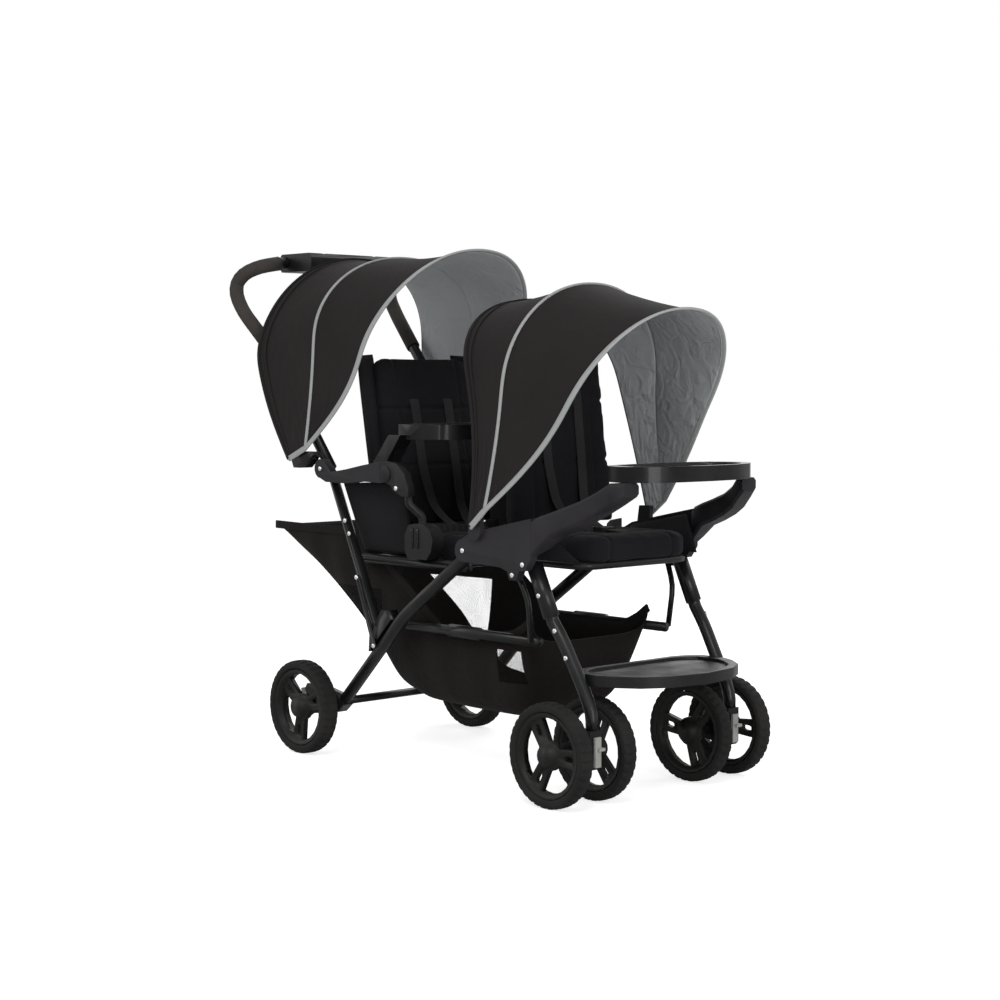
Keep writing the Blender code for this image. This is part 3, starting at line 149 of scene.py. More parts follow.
def window_group():
    """Open net in the basket's window places and closed cloth elsewhere: Alpha falls to 0 in the holes."""
    tree, source, out = group("windows", [("Count", "Float", 1250.0), ("Cord", "Float", 0.17)],
                              [("Alpha", "Float")])
    spot = node(tree, "TexCoord").outputs["Object"]
    axes = node(tree, "SeparateXYZ", [(spot, 0)])
    x, y, z = axes.outputs[0], axes.outputs[1], axes.outputs[2]
    walls = {"both": calc(tree, "GREATER_THAN", calc(tree, "ABSOLUTE", y), WALL_Y),
             "right": calc(tree, "LESS_THAN", y, -WALL_Y), "left": calc(tree, "GREATER_THAN", y, WALL_Y)}
    holes = 0.0
    for start, end, low, high, wall in WINDOWS:
        off_x = calc(tree, "ABSOLUTE", calc(tree, "SUBTRACT", x, (start + end) / 2 - MIDDLE_X))
        off_z = calc(tree, "ABSOLUTE", calc(tree, "SUBTRACT", z, (low + high) / 2))
        box = calc(tree, "MULTIPLY", calc(tree, "LESS_THAN", off_x, (end - start) / 2),
                   calc(tree, "LESS_THAN", off_z, (high - low) / 2))
        holes = calc(tree, "MAXIMUM", calc(tree, "MULTIPLY", box, walls[wall]), holes)
    for operation in ("ADD", "SUBTRACT"):
        turned = calc(tree, "MULTIPLY", calc(tree, operation, x, z), source.outputs["Count"])
        wave = calc(tree, "ABSOLUTE", calc(tree, "SINE", turned))
        holes = calc(tree, "MULTIPLY", holes, calc(tree, "GREATER_THAN", wave, source.outputs["Cord"]))
    tree.links.new(calc(tree, "SUBTRACT", 1.0, holes), out.inputs["Alpha"])
    return tree


MOLDED = molded_group()
WEAVE = weave_group()
OPEN = window_group()


def finish(name, tree, values, metallic=0.0, sheen=0.0, coat=0.0, specular=0.12):
    """One material from an effect group and its own numbers; a group may carry its own roughness."""
    material = bpy.data.materials.new(name)
    material.use_nodes = True
    nodes = material.node_tree
    shader = nodes.nodes["Principled BSDF"]
    effect = node(nodes, "Group", node_tree=tree)
    for label, value in values.items():
        effect.inputs[label].default_value = (*value, 1.0) if isinstance(value, tuple) else value
    shader.inputs["Metallic"].default_value = metallic
    shader.inputs["Roughness"].default_value = 0.9
    shader.inputs["Sheen Weight"].default_value = sheen
    shader.inputs["Coat Weight"].default_value = coat
    shader.inputs["Specular IOR Level"].default_value = specular
    nodes.links.new(effect.outputs["Color"], shader.inputs["Base Color"])
    nodes.links.new(effect.outputs["Normal"], shader.inputs["Normal"])
    if "Roughness" in effect.outputs:
        nodes.links.new(effect.outputs["Roughness"], shader.inputs["Roughness"])
    return material


def hard(name, base, worn, smooth, rough, grain=900.0, depth=0.0001, metallic=0.0, coat=0.0):
    """Plastic, paint, foam, rubber or metal, between two colours and two levels of roughness."""
    values = {"Base": base, "Worn": worn, "Grain": grain, "Depth": depth, "Smooth": smooth, "Rough": rough}
    return finish(name, MOLDED, values, metallic, coat=coat, specular=0.2)


def cloth(name, base, thread, crease=0.0015):
    """Woven cloth in two colours; crease is how deep its soft folds look."""
    return finish(name, WEAVE, {"Base": base, "Thread": thread, "Crease": crease}, sheen=0.03)


TYRE = hard("tyre_rubber", (0.009, 0.009, 0.009), (0.022, 0.021, 0.020), 0.75, 0.9, 600.0, 0.0002)
RIM = hard("rim_plastic", (0.007, 0.007, 0.0065), (0.014, 0.014, 0.012), 0.42, 0.55)
TUBE = hard("tube_paint", (0.006, 0.0065, 0.0065), (0.012, 0.012, 0.013), 0.28, 0.45, 1500.0, 0.00003,
            coat=0.1)
GREY = hard("side_plastic", (0.013, 0.012, 0.014), (0.022, 0.020, 0.023), 0.45, 0.58)
GLOSS = hard("tray_plastic", (0.005, 0.0045, 0.005), (0.010, 0.009, 0.010), 0.2, 0.36, coat=0.15)
BLACK = hard("black_plastic", (0.006, 0.006, 0.006), (0.013, 0.012, 0.013), 0.32, 0.5)
FOAM = hard("grip_foam", (0.040, 0.035, 0.032), (0.062, 0.055, 0.050), 0.85, 0.95, 1300.0, 0.0004)
LEVER = hard("lever_plastic", (0.30, 0.31, 0.29), (0.38, 0.38, 0.36), 0.4, 0.55)
STEEL = hard("rivet_steel", (0.62, 0.62, 0.63), (0.78, 0.78, 0.79), 0.2, 0.36, 1500.0, 0.00003,
             metallic=0.9)
CANOPY = cloth("canopy_cloth", (0.014, 0.012, 0.012), (0.030, 0.027, 0.026))
LINING = cloth("canopy_lining", (0.40, 0.42, 0.43), (0.62, 0.64, 0.65), 0.012)
TRIM = cloth("grey_trim", (0.34, 0.35, 0.35), (0.46, 0.47, 0.47), 0.0005)
SEAT = cloth("seat_cloth", (0.008, 0.0075, 0.009), (0.022, 0.020, 0.023))
WEBBING = cloth("webbing", (0.020, 0.020, 0.021), (0.060, 0.060, 0.062), 0.0004)
BASKET, NET = (cloth(name, (0.008, 0.0065, 0.006), (0.019, 0.016, 0.015), 0.003)
               for name in ("basket_cloth", "basket_net"))
windows = node(NET.node_tree, "Group", node_tree=OPEN)
NET.node_tree.links.new(windows.outputs["Alpha"], NET.node_tree.nodes["Principled BSDF"].inputs["Alpha"])


# Shapes

def show(name, mesh, *materials):
    """A new object in the scene with its materials."""
    obj = bpy.data.objects.new(name, mesh)
    bpy.context.scene.collection.objects.link(obj)
    for material in materials:
        mesh.materials.append(material)
    return obj


def apply(obj):
    """Replace an object's mesh by its evaluated one and drop its modifiers."""
    bpy.context.view_layer.update()
    graph = bpy.context.evaluated_depsgraph_get()
    mesh = bpy.data.meshes.new_from_object(obj.evaluated_get(graph))
    obj.modifiers.clear()
    obj.data = mesh


def grid_mesh(name, points, wrap_u=False, wrap_v=False, cap_v=False):
    """A mesh over a grid of points (u, v, xyz), joined round where it wraps, with flat ends over v."""
    nu, nv = points.shape[:2]
    index = np.arange(nu * nv).reshape(nu, nv)
    rows = np.concatenate([index, index[:1]]) if wrap_u else index
    rows = np.concatenate([rows, rows[:, :1]], 1) if wrap_v else rows
    faces = np.stack([rows[:-1, :-1], rows[1:, :-1], rows[1:, 1:], rows[:-1, 1:]], -1).reshape(-1, 4).tolist()
    if cap_v:
        faces += [index[:, 0].tolist(), index[::-1, -1].tolist()]
    mesh = bpy.data.meshes.new(name)
    mesh.from_pydata(points.reshape(-1, 3), [], faces)
    bm = bmesh.new()
    bm.from_mesh(mesh)
    bmesh.ops.remove_doubles(bm, verts=bm.verts, dist=WELD)
    bmesh.ops.recalc_face_normals(bm, faces=bm.faces)
    bm.to_mesh(mesh)
    bm.free()
    mesh.shade_smooth()
    return mesh


def smooth_path(points, count):
    """A path through its points, resampled evenly and eased at each corner by a running mean."""
    points = np.array(points, float)
    steps = np.r_[0, np.cumsum(np.linalg.norm(np.diff(points, axis=0), axis=1))]
    at = np.linspace(0, steps[-1], count)
    line = np.stack([np.interp(at, steps, points[:, i]) for i in range(3)], 1)
    for _ in range(4):
        line[1:-1] = (line[:-2] + 2 * line[1:-1] + line[2:]) / 4
    return line


def sweep(name, path, half_w, half_t, across, material, sides=12):
    """A section carried along a path: half_w wide towards the across direction and half_t thick."""
    path = np.asarray(path, float)
    along = np.gradient(path, axis=0)
    along /= np.linalg.norm(along, axis=1)[:, None]
    wide = np.broadcast_to(np.asarray(across, float), path.shape)
    wide = wide - (wide * along).sum(1)[:, None] * along
    wide /= np.linalg.norm(wide, axis=1)[:, None]
    thick = np.cross(along, wide)
    turn = np.linspace(0, 2 * math.pi, sides, endpoint=False)
    c, s = np.cos(turn), np.sin(turn)
    power = 1.0 if half_w == half_t else 0.45
    c, s = np.sign(c) * abs(c) ** power, np.sign(s) * abs(s) ** power
    points = path[None] + c[:, None, None] * wide[None] * half_w + s[:, None, None] * thick[None] * half_t
    return show(name, grid_mesh(name, points, wrap_u=True, cap_v=True), material)


def pillow(name, body, corners, thick, puff):
    """A padded panel between four corners, on a body. Over u and v from 0 to 1, with p = |2u - 1| and
    q = |2v - 1|, each face stands off the flat panel by
    thick / 2 * sqrt((1 - p^6) * (1 - q^6)) + puff * (1 - p^2) * (1 - q^2)."""
    a, b, c, d = (np.array(corner, float) for corner in corners)
    u, v = np.meshgrid(np.linspace(0, 1, 28), np.linspace(0, 1, 28), indexing="ij")
    flat = (a * (1 - u[..., None]) + b * u[..., None]) * (1 - v[..., None])
    flat = flat + (d * (1 - u[..., None]) + c * u[..., None]) * v[..., None]
    normal = np.cross(b - a, d - a)
    normal /= np.linalg.norm(normal)
    rim = np.sqrt(np.clip((1 - abs(2 * u - 1) ** 6) * (1 - abs(2 * v - 1) ** 6), 0, 1))
    rise = rim * thick / 2 + puff * (1 - (2 * u - 1) ** 2) * (1 - (2 * v - 1) ** 2)
    front = flat + normal * rise[..., None]
    back = flat - normal * rise[..., None]
    panel = show(name, grid_mesh(name, np.concatenate([front, back[::-1]], 0), wrap_u=True), SEAT)
    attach(panel, body)


# The frame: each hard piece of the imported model, merged, with its edges eased

def node_mesh(name, flat_angle=0.0, scale=1.0):
    """A welded copy of a node's mesh. Its flat faces are joined where an angle is given, and a scale works
    about its middle."""
    mesh = frame["nodes"][name].data.copy()
    mesh.materials.clear()
    bm = bmesh.new()
    bm.from_mesh(mesh)
    bmesh.ops.remove_doubles(bm, verts=bm.verts, dist=WELD)
    if flat_angle:
        bmesh.ops.dissolve_limit(bm, angle_limit=flat_angle, verts=bm.verts, edges=bm.edges)
    if scale != 1.0:
        middle = sum((v.co for v in bm.verts), Vector()) / len(bm.verts)
        for v in bm.verts:
            v.co = middle + (v.co - middle) * scale
    bm.to_mesh(mesh)
    bm.free()
    return mesh


def eased(name, width, material):
    """A merged copy of a node that takes its place, with small round edges where a width is given."""
    mesh = node_mesh(name, math.radians(0.6) if width else 0.0)
    mesh.shade_smooth()
    obj = show(name + "_face", mesh, material)
    if width:
        bevel = obj.modifiers.new("edges", "BEVEL")
        bevel.width = width
        bevel.segments = 3
        bevel.limit_method = "ANGLE"
        bevel.angle_limit = math.radians(38)
        bevel.harden_normals = True
        mesh.set_sharp_from_angle(angle=math.radians(75))
    else:
        mesh.set_sharp_from_angle(angle=math.radians(50))
    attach(obj, body_by_node[name])
    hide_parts(name)


body_by_node = {n: body for body, nodes in frame["record"]["behaviour"]["bodies"].items() for n in nodes}
# Nodes by the start of their name: the width of their round edges and their material
EASED = {"arm_plate": (0.0022, GREY), "side_molding": (0.003, GREY), "elbow_arm": (0.002, BLACK),
         "rear_tray": (0.003, GLOSS), "front_tray": (0.003, GLOSS), "footrest": (0.004, BLACK),
         "console_lid": (0.001, GREY), "console": (0.0025, BLACK), "fold_trigger": (0.0015, LEVER),
         "caster_fork": (0.002, BLACK), "caster_lock": (0.001, LEVER), "brake_pedal": (0.0018, LEVER),
         "handle_tube": (0, TUBE), "handle_grip": (0, FOAM), "front_leg": (0, TUBE), "front_strut": (0, TUBE),
         "front_seat_frame": (0, TUBE), "rear_leg": (0, TUBE), "rear_upright": (0, TUBE),
         "seat_rails": (0, TUBE), "rear_axle": (0, TUBE), "lower_rail": (0, TUBE),
         "front_buckle": (0.001, BLACK), "rear_buckle": (0.001, BLACK),
         "rear_wheel": (0, RIM), "front_wheel": (0, RIM)}
SOFT = ("canopy", "seat_pad", "backrest", "basket", "tyre")
for node_name in sorted(frame["nodes"]):
    if any(word in node_name for word in SOFT):
        continue
    key = max((k for k in EASED if node_name.startswith(k)), key=len)
    width, material = EASED[key]
    eased(node_name, width, GREY if node_name.endswith("button") else material)


# Wheels

WHEEL_R = 0.1016
TYRE_MIDDLE_R = 0.0919
TYRE_HALF_DEPTH = 0.0097
NOTCHES = 36
NOTCH_DEPTH = 0.0028


def tyre(wheel, width, centre):
    """A round-shouldered tyre, turned about the axle. Round its section, at angle t, its radius is
    TYRE_MIDDLE_R + TYRE_HALF_DEPTH * |sin t|^0.62 and its side place width / 2 * |cos t|^0.55, each with the
    sign of its sine or cosine. Notches cross the outer parts of its tread."""
    around = np.linspace(0, 2 * math.pi, 288, endpoint=False)
    ring = np.linspace(0, 2 * math.pi, 28, endpoint=False)
    c, s = np.cos(ring), np.sin(ring)
    section_r = TYRE_MIDDLE_R + TYRE_HALF_DEPTH * np.sign(s) * abs(s) ** 0.62
    section_y = width / 2 * np.sign(c) * abs(c) ** 0.55
    tread = np.clip(s * 1.6 - 0.45, 0, 1)
    notch = (np.cos(around * NOTCHES)[:, None] > 0.55) * tread[None] * (abs(section_y) > width * 0.16)[None]
    radius = section_r[None] - NOTCH_DEPTH * notch
    points = np.stack([radius * np.cos(around)[:, None], np.broadcast_to(section_y, radius.shape),
                       radius * np.sin(around)[:, None]], -1) + centre
    obj = show(wheel + "_tread", grid_mesh(wheel + "_tread", points, True, True), TYRE)
    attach(obj, wheel)
    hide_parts(wheel + "_tyre")


for end, side in SIDES:
    tyre("rear_wheel_" + end, 0.039, place(0, side * 0.248, WHEEL_R))
    for row, y in (("_outer", 0.257), ("_inner", 0.139)):
        tyre("front_wheel_" + end + row, 0.032, place(0.7813, side * y, WHEEL_R))


# Rivets

RIVET_R = 0.0048
RIVET_H = 0.0034


def rivet(name, x, z, face_y, side, body):
    """A low steel dome over a rivet head: its profile, from shares of RIVET_R and RIVET_H, turned about its
    own middle."""
    ring = np.linspace(0, 2 * math.pi, 24, endpoint=False)
    rise = np.array((0.0, 0.5, 0.8, 1.0, 1.0, 0.0))
    reach = np.array((1.06, 1.06, 0.9, 0.5, 0.0001, 0.0001)) * RIVET_R
    along, up = np.cos(ring)[:, None] * reach, np.sin(ring)[:, None] * reach
    y = np.broadcast_to(side * (face_y + rise * RIVET_H), along.shape)
    points = np.stack([x - MIDDLE_X + along, y, z + up], -1)
    obj = show(name, grid_mesh(name, points, True, cap_v=True), STEEL)
    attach(obj, body)


# Each rivet's place along and up, the face it sits on and its body
RIVETS = ((0.513, 0.473, 0.240, "front_frame"), (0.686, 0.456, 0.240, "front_frame"),
          (0.657, 0.434, 0.240, "front_frame"), (0.054, 0.622, 0.240, "rear_frame"),
          (0.308, 0.589, 0.240, "rear_frame"), (0.160, 0.394, 0.226, "rear_frame"),
          (0.216, 0.253, 0.226, "rear_frame"), (0.115, 0.512, 0.2205, "rear_frame"),
          (0.129, 0.485, 0.2205, "rear_frame"), (0.711, 0.397, 0.221, "front_frame"),
          (0.750, 0.332, 0.2155, "front_frame"), (0.777, 0.282, 0.2125, "front_frame"))
for end, side in SIDES:
    for number, (x, z, face_y, body) in enumerate(RIVETS):
        rivet("rivet_%d_%s" % (number, end), x, z, face_y, side, body)


# Ribs on the round housing below the elbow

for end, side in SIDES:
    for number, at_x in enumerate((0.328, 0.345)):
        path = np.linspace(place(at_x, side * 0.2145, 0.466), place(at_x, side * 0.2145, 0.507), 12)
        path[[0, -1], 1] -= side * 0.003
        rib = sweep("housing_rib_%d_%s" % (number, end), path, 0.0032, 0.0032, (1, 0, 0), GLOSS)
        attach(rib, "rear_frame")


# Canopies

FOOT_Y = 0.256
LEG_SHARE = 0.45
CANOPY_T = 0.0024
# Points along a bow's line, and along the lines that trims and seams follow
BOW_COUNT = 97
TRIM_COUNT = 121
# Each bow: its foot, shoulder and crown (along, up), half its width and how far its legs belly forward
REAR = {"rim": ((0.026, 0.666), (0.173, 0.886), (0.305, 1.087), 0.217, 0.026),
        "mid": ((0.024, 0.666), (0.022, 0.915), (0.050, 1.082), 0.230, 0.0),
        "back": ((-0.036, 0.641), (-0.172, 0.870), (-0.116, 1.088), 0.240, -0.018)}
FRONT = {"rim": ((0.598, 0.558), (0.768, 0.764), (0.893, 0.947), 0.199, 0.014),
         "mid": ((0.596, 0.558), (0.607, 0.810), (0.639, 1.004), 0.219, 0.0),
         "back": ((0.553, 0.522), (0.500, 0.825), (0.445, 0.975), 0.215, 0.010)}


def canopy_line(canopy, edge, count=BOW_COUNT, grow=0.0):
    """One bow's line from the right foot to the left, grown outward by grow. Up each leg, with t from 0 to 1,
    it runs straight from foot to shoulder plus belly * sin(pi * t), while its half width falls to half_w with
    (1 - t)^1.6. Over them it is half an ellipse from shoulder to crown. A running mean eases the joins."""
    foot, shoulder, crown, half_w, belly = canopy[edge]
    foot, shoulder, crown = np.array(foot), np.array(shoulder), np.array(crown)
    s = np.linspace(-1, 1, count)
    rest = 1 - abs(s)
    t = np.clip(rest / LEG_SHARE, 0, 1)
    angle = np.clip((rest - LEG_SHARE) / (1 - LEG_SHARE), 0, 1) * math.pi / 2
    y = (half_w + (FOOT_Y - half_w) * (1 - t) ** 1.6) * np.cos(angle) ** 0.92
    side = foot + (shoulder - foot) * t[:, None] + (crown - shoulder) * np.sin(angle)[:, None]
    side[:, 0] += belly * np.sin(math.pi * t)
    line = np.stack([side[:, 0] - MIDDLE_X, np.sign(s) * y, side[:, 1]], 1)
    for _ in range(count // 8):
        line[1:-1] = (line[:-2] + 2 * line[1:-1] + line[2:]) / 4
    along = np.gradient(line, axis=0)
    outward = np.cross(along, (1.0, 0.0, 0.0))
    outward /= np.linalg.norm(outward, axis=1)[:, None]
    return line + grow * outward * np.sign((outward * (line - (0, 0, 0.7))).sum(1).mean())


def canopy_panel(name, canopy, first, second, node_name, sag):
    """Cloth between two bows. With v from 0 to 1 between them and rest from 0 at a foot to 1 at the crown, it
    dips inward by 4v(1 - v) * (sag * sqrt(rest) + 0.0014 * sin(46 rest + 5 sin 9v) * exp(-3 rest))."""
    a, b = canopy_line(canopy, first), canopy_line(canopy, second)
    v = np.linspace(0, 1, 25)
    points = a[:, None] * (1 - v)[None, :, None] + b[:, None] * v[None, :, None]
    normal = np.cross(np.gradient(points, axis=0), np.gradient(points, axis=1))
    normal /= np.linalg.norm(normal, axis=2)[..., None] + 1e-9
    outward = np.sign((normal * (points - points.mean((0, 1)))).sum(2).mean())
    rest = 1 - abs(np.linspace(-1, 1, len(a)))
    slack = 4 * v * (1 - v)
    crease = np.sin(rest[:, None] * 46 + 5 * np.sin(v * 9)[None]) * np.exp(-rest * 3.0)[:, None]
    dip = sag * slack[None] * np.sqrt(rest)[:, None] + 0.0014 * crease * slack[None]
    points = points - outward * normal * dip[..., None]
    obj = show(name, grid_mesh(name, points), CANOPY, LINING)
    shell = obj.modifiers.new("cloth", "SOLIDIFY")
    shell.thickness = CANOPY_T
    shell.offset = 0
    shell.material_offset = 1
    shell.material_offset_rim = 0
    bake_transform(obj)
    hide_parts(node_name)


def trim(name, canopy, edge, body, half_w, half_t, material=TRIM, tail=False):
    """A tube or binding along one bow's line; a tail carries it on to the canopy's foot."""
    path = canopy_line(canopy, edge, TRIM_COUNT, 0.0016)
    if tail:
        ends = canopy_line(canopy, "back")[[0, -1]]
        first = ends[0] + (path[0] - ends[0]) * np.linspace(0, 1, 8, endpoint=False)[:, None]
        last = path[-1] + (ends[1] - path[-1]) * np.linspace(0, 1, 9)[1:, None]
        path = np.concatenate([first, path, last])
    obj = sweep(name, path, half_w, half_t, (1, 0, 0.2), material)
    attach(obj, body)


def seam(name, canopy, first, second, share):
    """A sewn ridge between two bows, at a share of the way from the first."""
    a, b = (canopy_line(canopy, edge, TRIM_COUNT, 0.0012) for edge in (first, second))
    path = a + (b - a) * share
    obj = sweep(name, path, 0.0022, 0.0012, (1, 0, 0.2), CANOPY)
    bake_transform(obj)


for kind, canopy, carrier, sag in (("rear", REAR, "handle", 0.007), ("front", FRONT, "front_frame", 0.005)):
    mid, rim = kind + "_canopy_mid", kind + "_canopy_front"
    canopy_panel(kind + "_hood_front", canopy, "rim", "mid", kind + "_canopy_front_panel", sag)
    canopy_panel(kind + "_hood_rear", canopy, "mid", "back", kind + "_canopy_rear_panel", sag)
    trim(kind + "_hood_piping", canopy, "mid", mid, 0.0034, 0.0024)
    trim(kind + "_hood_binding", canopy, "rim", rim, 0.0060, 0.0026, tail=True)
    trim(kind + "_hood_hem", canopy, "back", carrier, 0.004, 0.0022, CANOPY)
    seam(kind + "_hood_seam", canopy, "back", "mid", 0.12)


# Seats

# Sewn channels of the cushions: two at a distance from the middle plane, two at shares of the length
CHANNEL_Y = 0.088
CHANNEL_SHARES = (0.36, 0.70)
CHANNEL_HALF_W = 0.0045
CHANNEL_DEPTH = 0.0035
# Where each buckle lies on its seat pad, and the hollow that it presses in
BUCKLE_X = {"rear_seat_pad": 0.288, "front_seat_pad": 0.665}
HOLLOW_DEPTH = 0.010
HOLLOW_HALF_L = 0.027
HOLLOW_HALF_W = 0.025
SIM_FRAMES = 20


def sew(mesh, axis):
    """Channels sewn into a cushion: two lines along it and two across. Each point moves in along its normal
    by the channel's depth times exp(-(distance to a line / CHANNEL_HALF_W)^2)."""
    at, normal = np.empty(len(mesh.vertices) * 3), np.empty(len(mesh.vertices) * 3)
    mesh.vertices.foreach_get("co", at)
    mesh.vertices.foreach_get("normal", normal)
    at, normal = at.reshape(-1, 3), normal.reshape(-1, 3)
    low, high = at[:, axis].min(), at[:, axis].max()
    lines = [abs(abs(at[:, 1]) - CHANNEL_Y)]
    lines += [abs(at[:, axis] - low - (high - low) * share) for share in CHANNEL_SHARES]
    dent = sum(np.exp(-(gap / CHANNEL_HALF_W) ** 2) for gap in lines)
    mesh.vertices.foreach_set("co", (at - normal * CHANNEL_DEPTH * np.clip(dent, 0, 1)[:, None]).ravel())


def hollow(mesh, x):
    """The buckle's hollow in a cushion's top: a point falls by the hollow's depth times
    exp(-(distance along / HOLLOW_HALF_L)^4 - (distance across / HOLLOW_HALF_W)^4)."""
    for vertex in mesh.vertices:
        if vertex.normal.z > 0.3:
            along, across = (vertex.co.x - x) / HOLLOW_HALF_L, vertex.co.y / HOLLOW_HALF_W
            vertex.co.z -= HOLLOW_DEPTH * math.exp(-along ** 4 - across ** 4)


def padded_node(name, cover, body, cap):
    """A seat cushion: the node's block remeshed, blown up by a cloth simulation by at most cap, eased."""
    obj = show(name + "_cover", node_mesh(name, scale=0.965), cover)
    remesh = obj.modifiers.new("remesh", "REMESH")
    remesh.mode = "VOXEL"
    remesh.voxel_size = 0.006
    apply(obj)
    start = np.empty(len(obj.data.vertices) * 3)
    obj.data.vertices.foreach_get("co", start)
    sim = obj.modifiers.new("sim", "CLOTH")
    sim.settings.use_pressure = True
    sim.settings.uniform_pressure_force = 4
    sim.settings.effector_weights.gravity = 0
    sim.point_cache.frame_end = SIM_FRAMES
    for step in range(1, SIM_FRAMES + 1):
        bpy.context.scene.frame_set(step)
    apply(obj)
    bpy.context.scene.frame_set(1)
    end = np.empty_like(start)
    obj.data.vertices.foreach_get("co", end)
    start, end = start.reshape(-1, 3), end.reshape(-1, 3)
    move = end - start
    far = np.linalg.norm(move, axis=1)[:, None] + 1e-9
    obj.data.vertices.foreach_set("co", (start + move / far * np.minimum(far, cap)).ravel())
    smooth = obj.modifiers.new("ease", "SMOOTH")
    smooth.factor = 0.5
    smooth.iterations = 6
    apply(obj)
    divide = obj.modifiers.new("divide", "SUBSURF")
    divide.levels = 1
    divide.render_levels = 1
    apply(obj)
    sew(obj.data, 2 if name.endswith("backrest") else 0)
    if name in BUCKLE_X:
        hollow(obj.data, place(BUCKLE_X[name], 0, 0)[0])
    obj.data.shade_smooth()
    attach(obj, body)
    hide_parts(name)


def belt(name, points, half_w, across, body, to=None):
    """A strap through its points, on its body; where a second body is given, it is left loose in place
    instead.
    """
    path = smooth_path([place(*p) for p in points], 40)
    obj = sweep(name, path, half_w, 0.0011, across, WEBBING)
    if to:
        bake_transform(obj)
    else:
        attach(obj, body)


def harness(kind, body, crease, lean):
    """Shoulder, waist and crotch straps that meet at the buckle of a seat, from its crease and its lean."""
    x, z = crease
    front = np.array((x + 0.030, z))
    rise = np.array((-math.sin(lean), math.cos(lean)))
    for end, side in SIDES:
        at = [front + rise * h for h in (0.06, 0.14, 0.22, 0.30)]
        points = [(x + 0.112, side * 0.016, z + 0.010), (x + 0.072, side * 0.028, z + 0.022),
                  (at[0][0] + 0.016, side * 0.040, at[0][1])]
        points += [(p[0] + 0.009, side * 0.048, p[1]) for p in at[1:]]
        points += [(at[-1][0] - 0.006, side * 0.048, at[-1][1] + 0.004)]
        belt(kind + "_shoulder_belt_" + end, points, 0.0125, (0, 1, 0), body, kind + "_backrest")
        points = [(x + 0.125, side * 0.020, z + 0.009), (x + 0.085, side * 0.07, z + 0.011),
                  (x + 0.045, side * 0.145, z + 0.010)]
        belt(kind + "_waist_belt_" + end, points, 0.0115, (0, 0, 1), body)
    points = [(x + 0.145, 0, z + 0.010), (x + 0.185, 0, z + 0.008), (x + 0.215, 0, z + 0.001)]
    belt(kind + "_crotch_belt", points, 0.0125, (0, 1, 0), body)


for kind, body, crease, lean in (("rear", "rear_frame", (0.158, 0.4828), math.radians(11)),
                                 ("front", "front_frame", (0.535, 0.5028), math.radians(6))):
    padded_node(kind + "_seat_pad", SEAT, body, 0.007)
    padded_node(kind + "_backrest", SEAT, kind + "_backrest", 0.007)
    harness(kind, body, crease, lean)

# Panels: the body, four corners as (along, distance from the middle plane, up), thickness and puff
PANELS = {"rear_wing": ("rear_backrest", ((0.133, 0.135, 0.560), (0.180, 0.192, 0.560),
                                          (0.116, 0.186, 0.864), (0.076, 0.112, 0.868)), 0.014, 0.002),
          "rear_side_panel": ("rear_frame", ((0.125, 0.1765, 0.447), (0.298, 0.1765, 0.447),
                                             (0.288, 0.205, 0.600), (0.090, 0.205, 0.592)), 0.008, 0.003),
          "front_side_panel": ("front_frame", ((0.545, 0.168, 0.462), (0.770, 0.168, 0.462),
                                               (0.700, 0.214, 0.535), (0.545, 0.214, 0.505)), 0.008, 0.003)}
for end, side in SIDES:
    for name, (body, corners, thick, puff) in PANELS.items():
        pillow(name + "_" + end, body, [place(x, side * y, z) for x, y, z in corners], thick, puff)


# Basket

# Stations along the basket: place, height of the rim, height of the bottom
STATIONS = np.array(((-0.205, 0.492, 0.484), (-0.140, 0.491, 0.430), (-0.073, 0.490, 0.381),
                     (0.044, 0.490, 0.284), (0.100, 0.488, 0.232), (0.137, 0.465, 0.195),
                     (0.175, 0.440, 0.150), (0.250, 0.386, 0.128), (0.360, 0.305, 0.126),
                     (0.450, 0.305, 0.125), (0.540, 0.305, 0.126), (0.580, 0.310, 0.145),
                     (0.610, 0.325, 0.200), (0.637, 0.345, 0.290)))
BASKET_HALF_W = 0.166
BASKET_T = 0.003


def basket():
    """A sagging basket, lofted along the stroller. Round each section, at angle t from rim to rim, the cloth
    lies at half its width * |cos t|^0.38 to the side and depth * (sin t)^0.55 below the rim; its half width
    falls towards the bottom. Sine waves along it make it sag between its folds."""
    x = np.linspace(STATIONS[0, 0], STATIONS[-1, 0], 110)
    rim, low = (np.interp(x, STATIONS[:, 0], STATIONS[:, i]) for i in (1, 2))
    for _ in range(3):
        low[1:-1] = (low[:-2] + low[1:-1] + low[2:]) / 3
    angle = np.linspace(0, math.pi, 49)
    depth = rim - low
    y = -np.sign(np.cos(angle)) * abs(np.cos(angle)) ** 0.38
    drop = np.sin(angle) ** 0.55
    half = BASKET_HALF_W - 0.014 * drop[:, None] * np.clip(depth / 0.15, 0, 1)[None]
    sag = 0.002 * np.sin(x * 60)[None] * drop[:, None] * (1 - drop[:, None]) * 4
    points = np.stack([np.broadcast_to(x - MIDDLE_X, half.shape), y[:, None] * (half + sag),
                       rim[None] - depth[None] * drop[:, None] + sag], -1)
    obj = show("basket_cloth", grid_mesh("basket_cloth", points), NET)
    shell = obj.modifiers.new("cloth", "SOLIDIFY")
    shell.thickness = BASKET_T
    shell.offset = 0
    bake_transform(obj)
    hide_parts("basket")
    for end, side in SIDES:
        hem = np.stack([x - MIDDLE_X, np.full(len(x), side * 0.1665), rim - 0.006], 1)
        band = sweep("basket_hem_" + end, hem, 0.009, 0.0022, (0, 0, 1), BASKET)
        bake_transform(band)


basket()


# Room, lights and camera

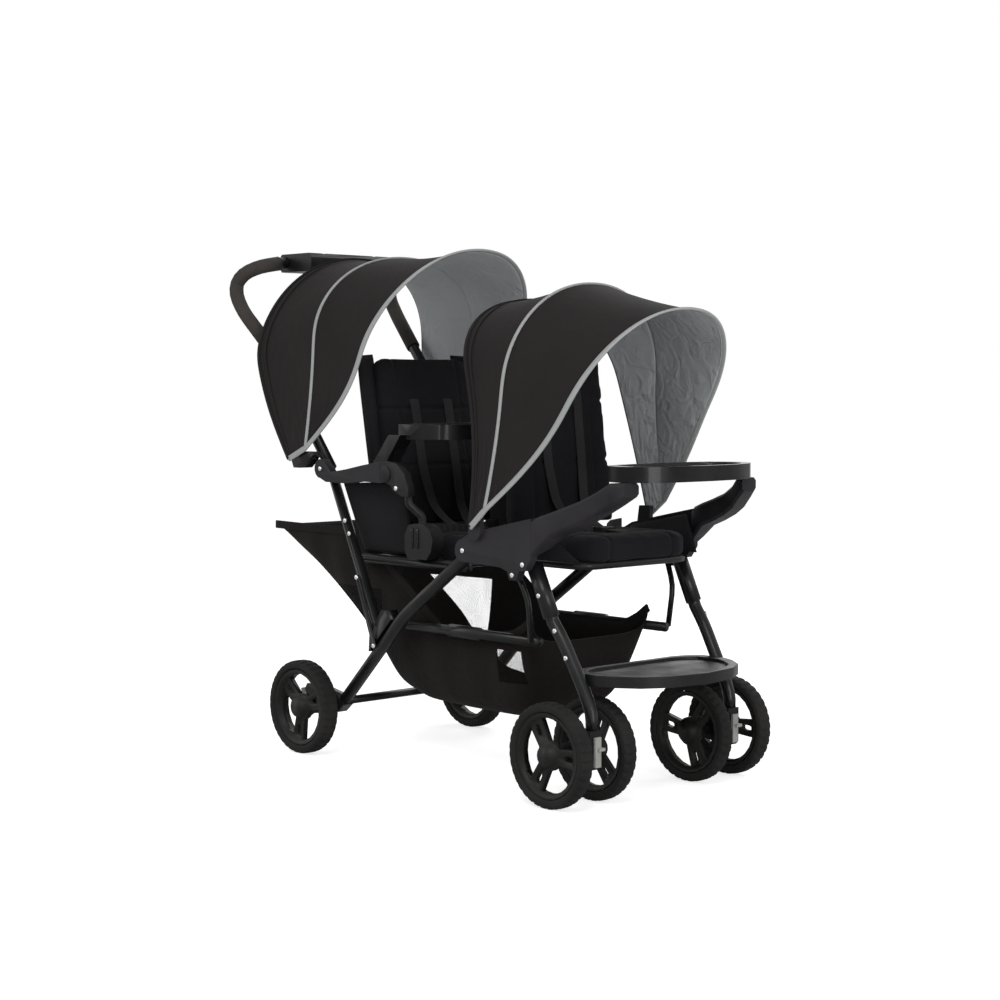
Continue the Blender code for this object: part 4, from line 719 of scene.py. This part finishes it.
def emitter(name, where, size, power, aim=(0.0, 0.0, 0.5)):
    """A square area light that faces a point."""
    light = bpy.data.lights.new(name, "AREA")
    light.size = size
    light.energy = power
    obj = bpy.data.objects.new(name, light)
    bpy.context.scene.collection.objects.link(obj)
    obj.location = where
    direction = np.array(aim) - np.array(where)
    flat = math.hypot(direction[0], direction[1])
    obj.rotation_euler = (math.atan2(flat, -direction[2]), 0, math.atan2(-direction[0], direction[1]))


FLOOR_HALF = 40
FLOOR_GLOW = 0.72
# How bright the world is to the camera, to gloss and to glass, and how strongly it lights the object
WORLD_SEEN = 1.0
WORLD_LIGHT = 0.36


def pale_floor():
    """A matt white floor with a plain glow that only the camera sees, so that it meets the backdrop."""
    material = bpy.data.materials.new("floor_white")
    material.use_nodes = True
    tree = material.node_tree
    shader = tree.nodes["Principled BSDF"]
    shader.inputs["Base Color"].default_value = (0.85, 0.85, 0.85, 1)
    shader.inputs["Roughness"].default_value = 0.95
    shader.inputs["Specular IOR Level"].default_value = 0.0
    seen = node(tree, "LightPath").outputs["Is Camera Ray"]
    glow = node(tree, "Emission", [(FLOOR_GLOW, "Strength")])
    dark = node(tree, "Emission", [(0.0, "Strength")])
    pick = node(tree, "MixShader", [(seen, 0), (dark.outputs[0], 1), (glow.outputs[0], 2)])
    total = node(tree, "AddShader", [(pick.outputs[0], 0), (shader.outputs[0], 1)])
    tree.links.new(total.outputs[0], tree.nodes["Material Output"].inputs["Surface"])
    return material


ground = bpy.data.meshes.new("floor")
corners = ((-1, -1), (1, -1), (1, 1), (-1, 1))
ground.from_pydata([(x * FLOOR_HALF, y * FLOOR_HALF, 0) for x, y in corners], [], [(0, 1, 2, 3)])
show("floor", ground, pale_floor())
emitter("key", (2.6, -3.2, 4.2), 2.4, 105)
emitter("fill", (-3.2, -2.8, 2.6), 3.0, 30)
emitter("front", (4.4, -1.2, 1.0), 1.8, 55, (0.1, 0.1, 0.8))
emitter("back", (-1.5, 3.6, 3.2), 2.4, 45)

world = bpy.data.worlds.new("studio")
bpy.context.scene.world = world
world.use_nodes = True
tree = world.node_tree
backdrop = tree.nodes["Background"]
backdrop.inputs["Color"].default_value = (1, 1, 1, 1)
ray = node(tree, "LightPath")
seen = ray.outputs["Is Camera Ray"]
for kind in ("Is Glossy Ray", "Is Transmission Ray"):
    seen = calc(tree, "MAXIMUM", seen, ray.outputs[kind])
level = node(tree, "MapRange", [(seen, 0), (WORLD_LIGHT, 3), (WORLD_SEEN, 4)])
tree.links.new(level.outputs[0], backdrop.inputs["Strength"])

# The camera that was fitted to the photograph
CAMERA_AT = (3.11488, -2.86047, 0.80054)
CAMERA_AZIMUTH = math.radians(47.18)
CAMERA_DOWN = math.radians(3.298)
camera_data = bpy.data.cameras.new("camera")
camera_data.sensor_width = 36
camera_data.lens = 71.615
camera = bpy.data.objects.new("camera", camera_data)
bpy.context.scene.collection.objects.link(camera)
camera.location = CAMERA_AT
camera.rotation_euler = (math.pi / 2 - CAMERA_DOWN, 0, CAMERA_AZIMUTH)
bpy.context.scene.camera = camera
bpy.context.scene.view_settings.view_transform = "Standard"
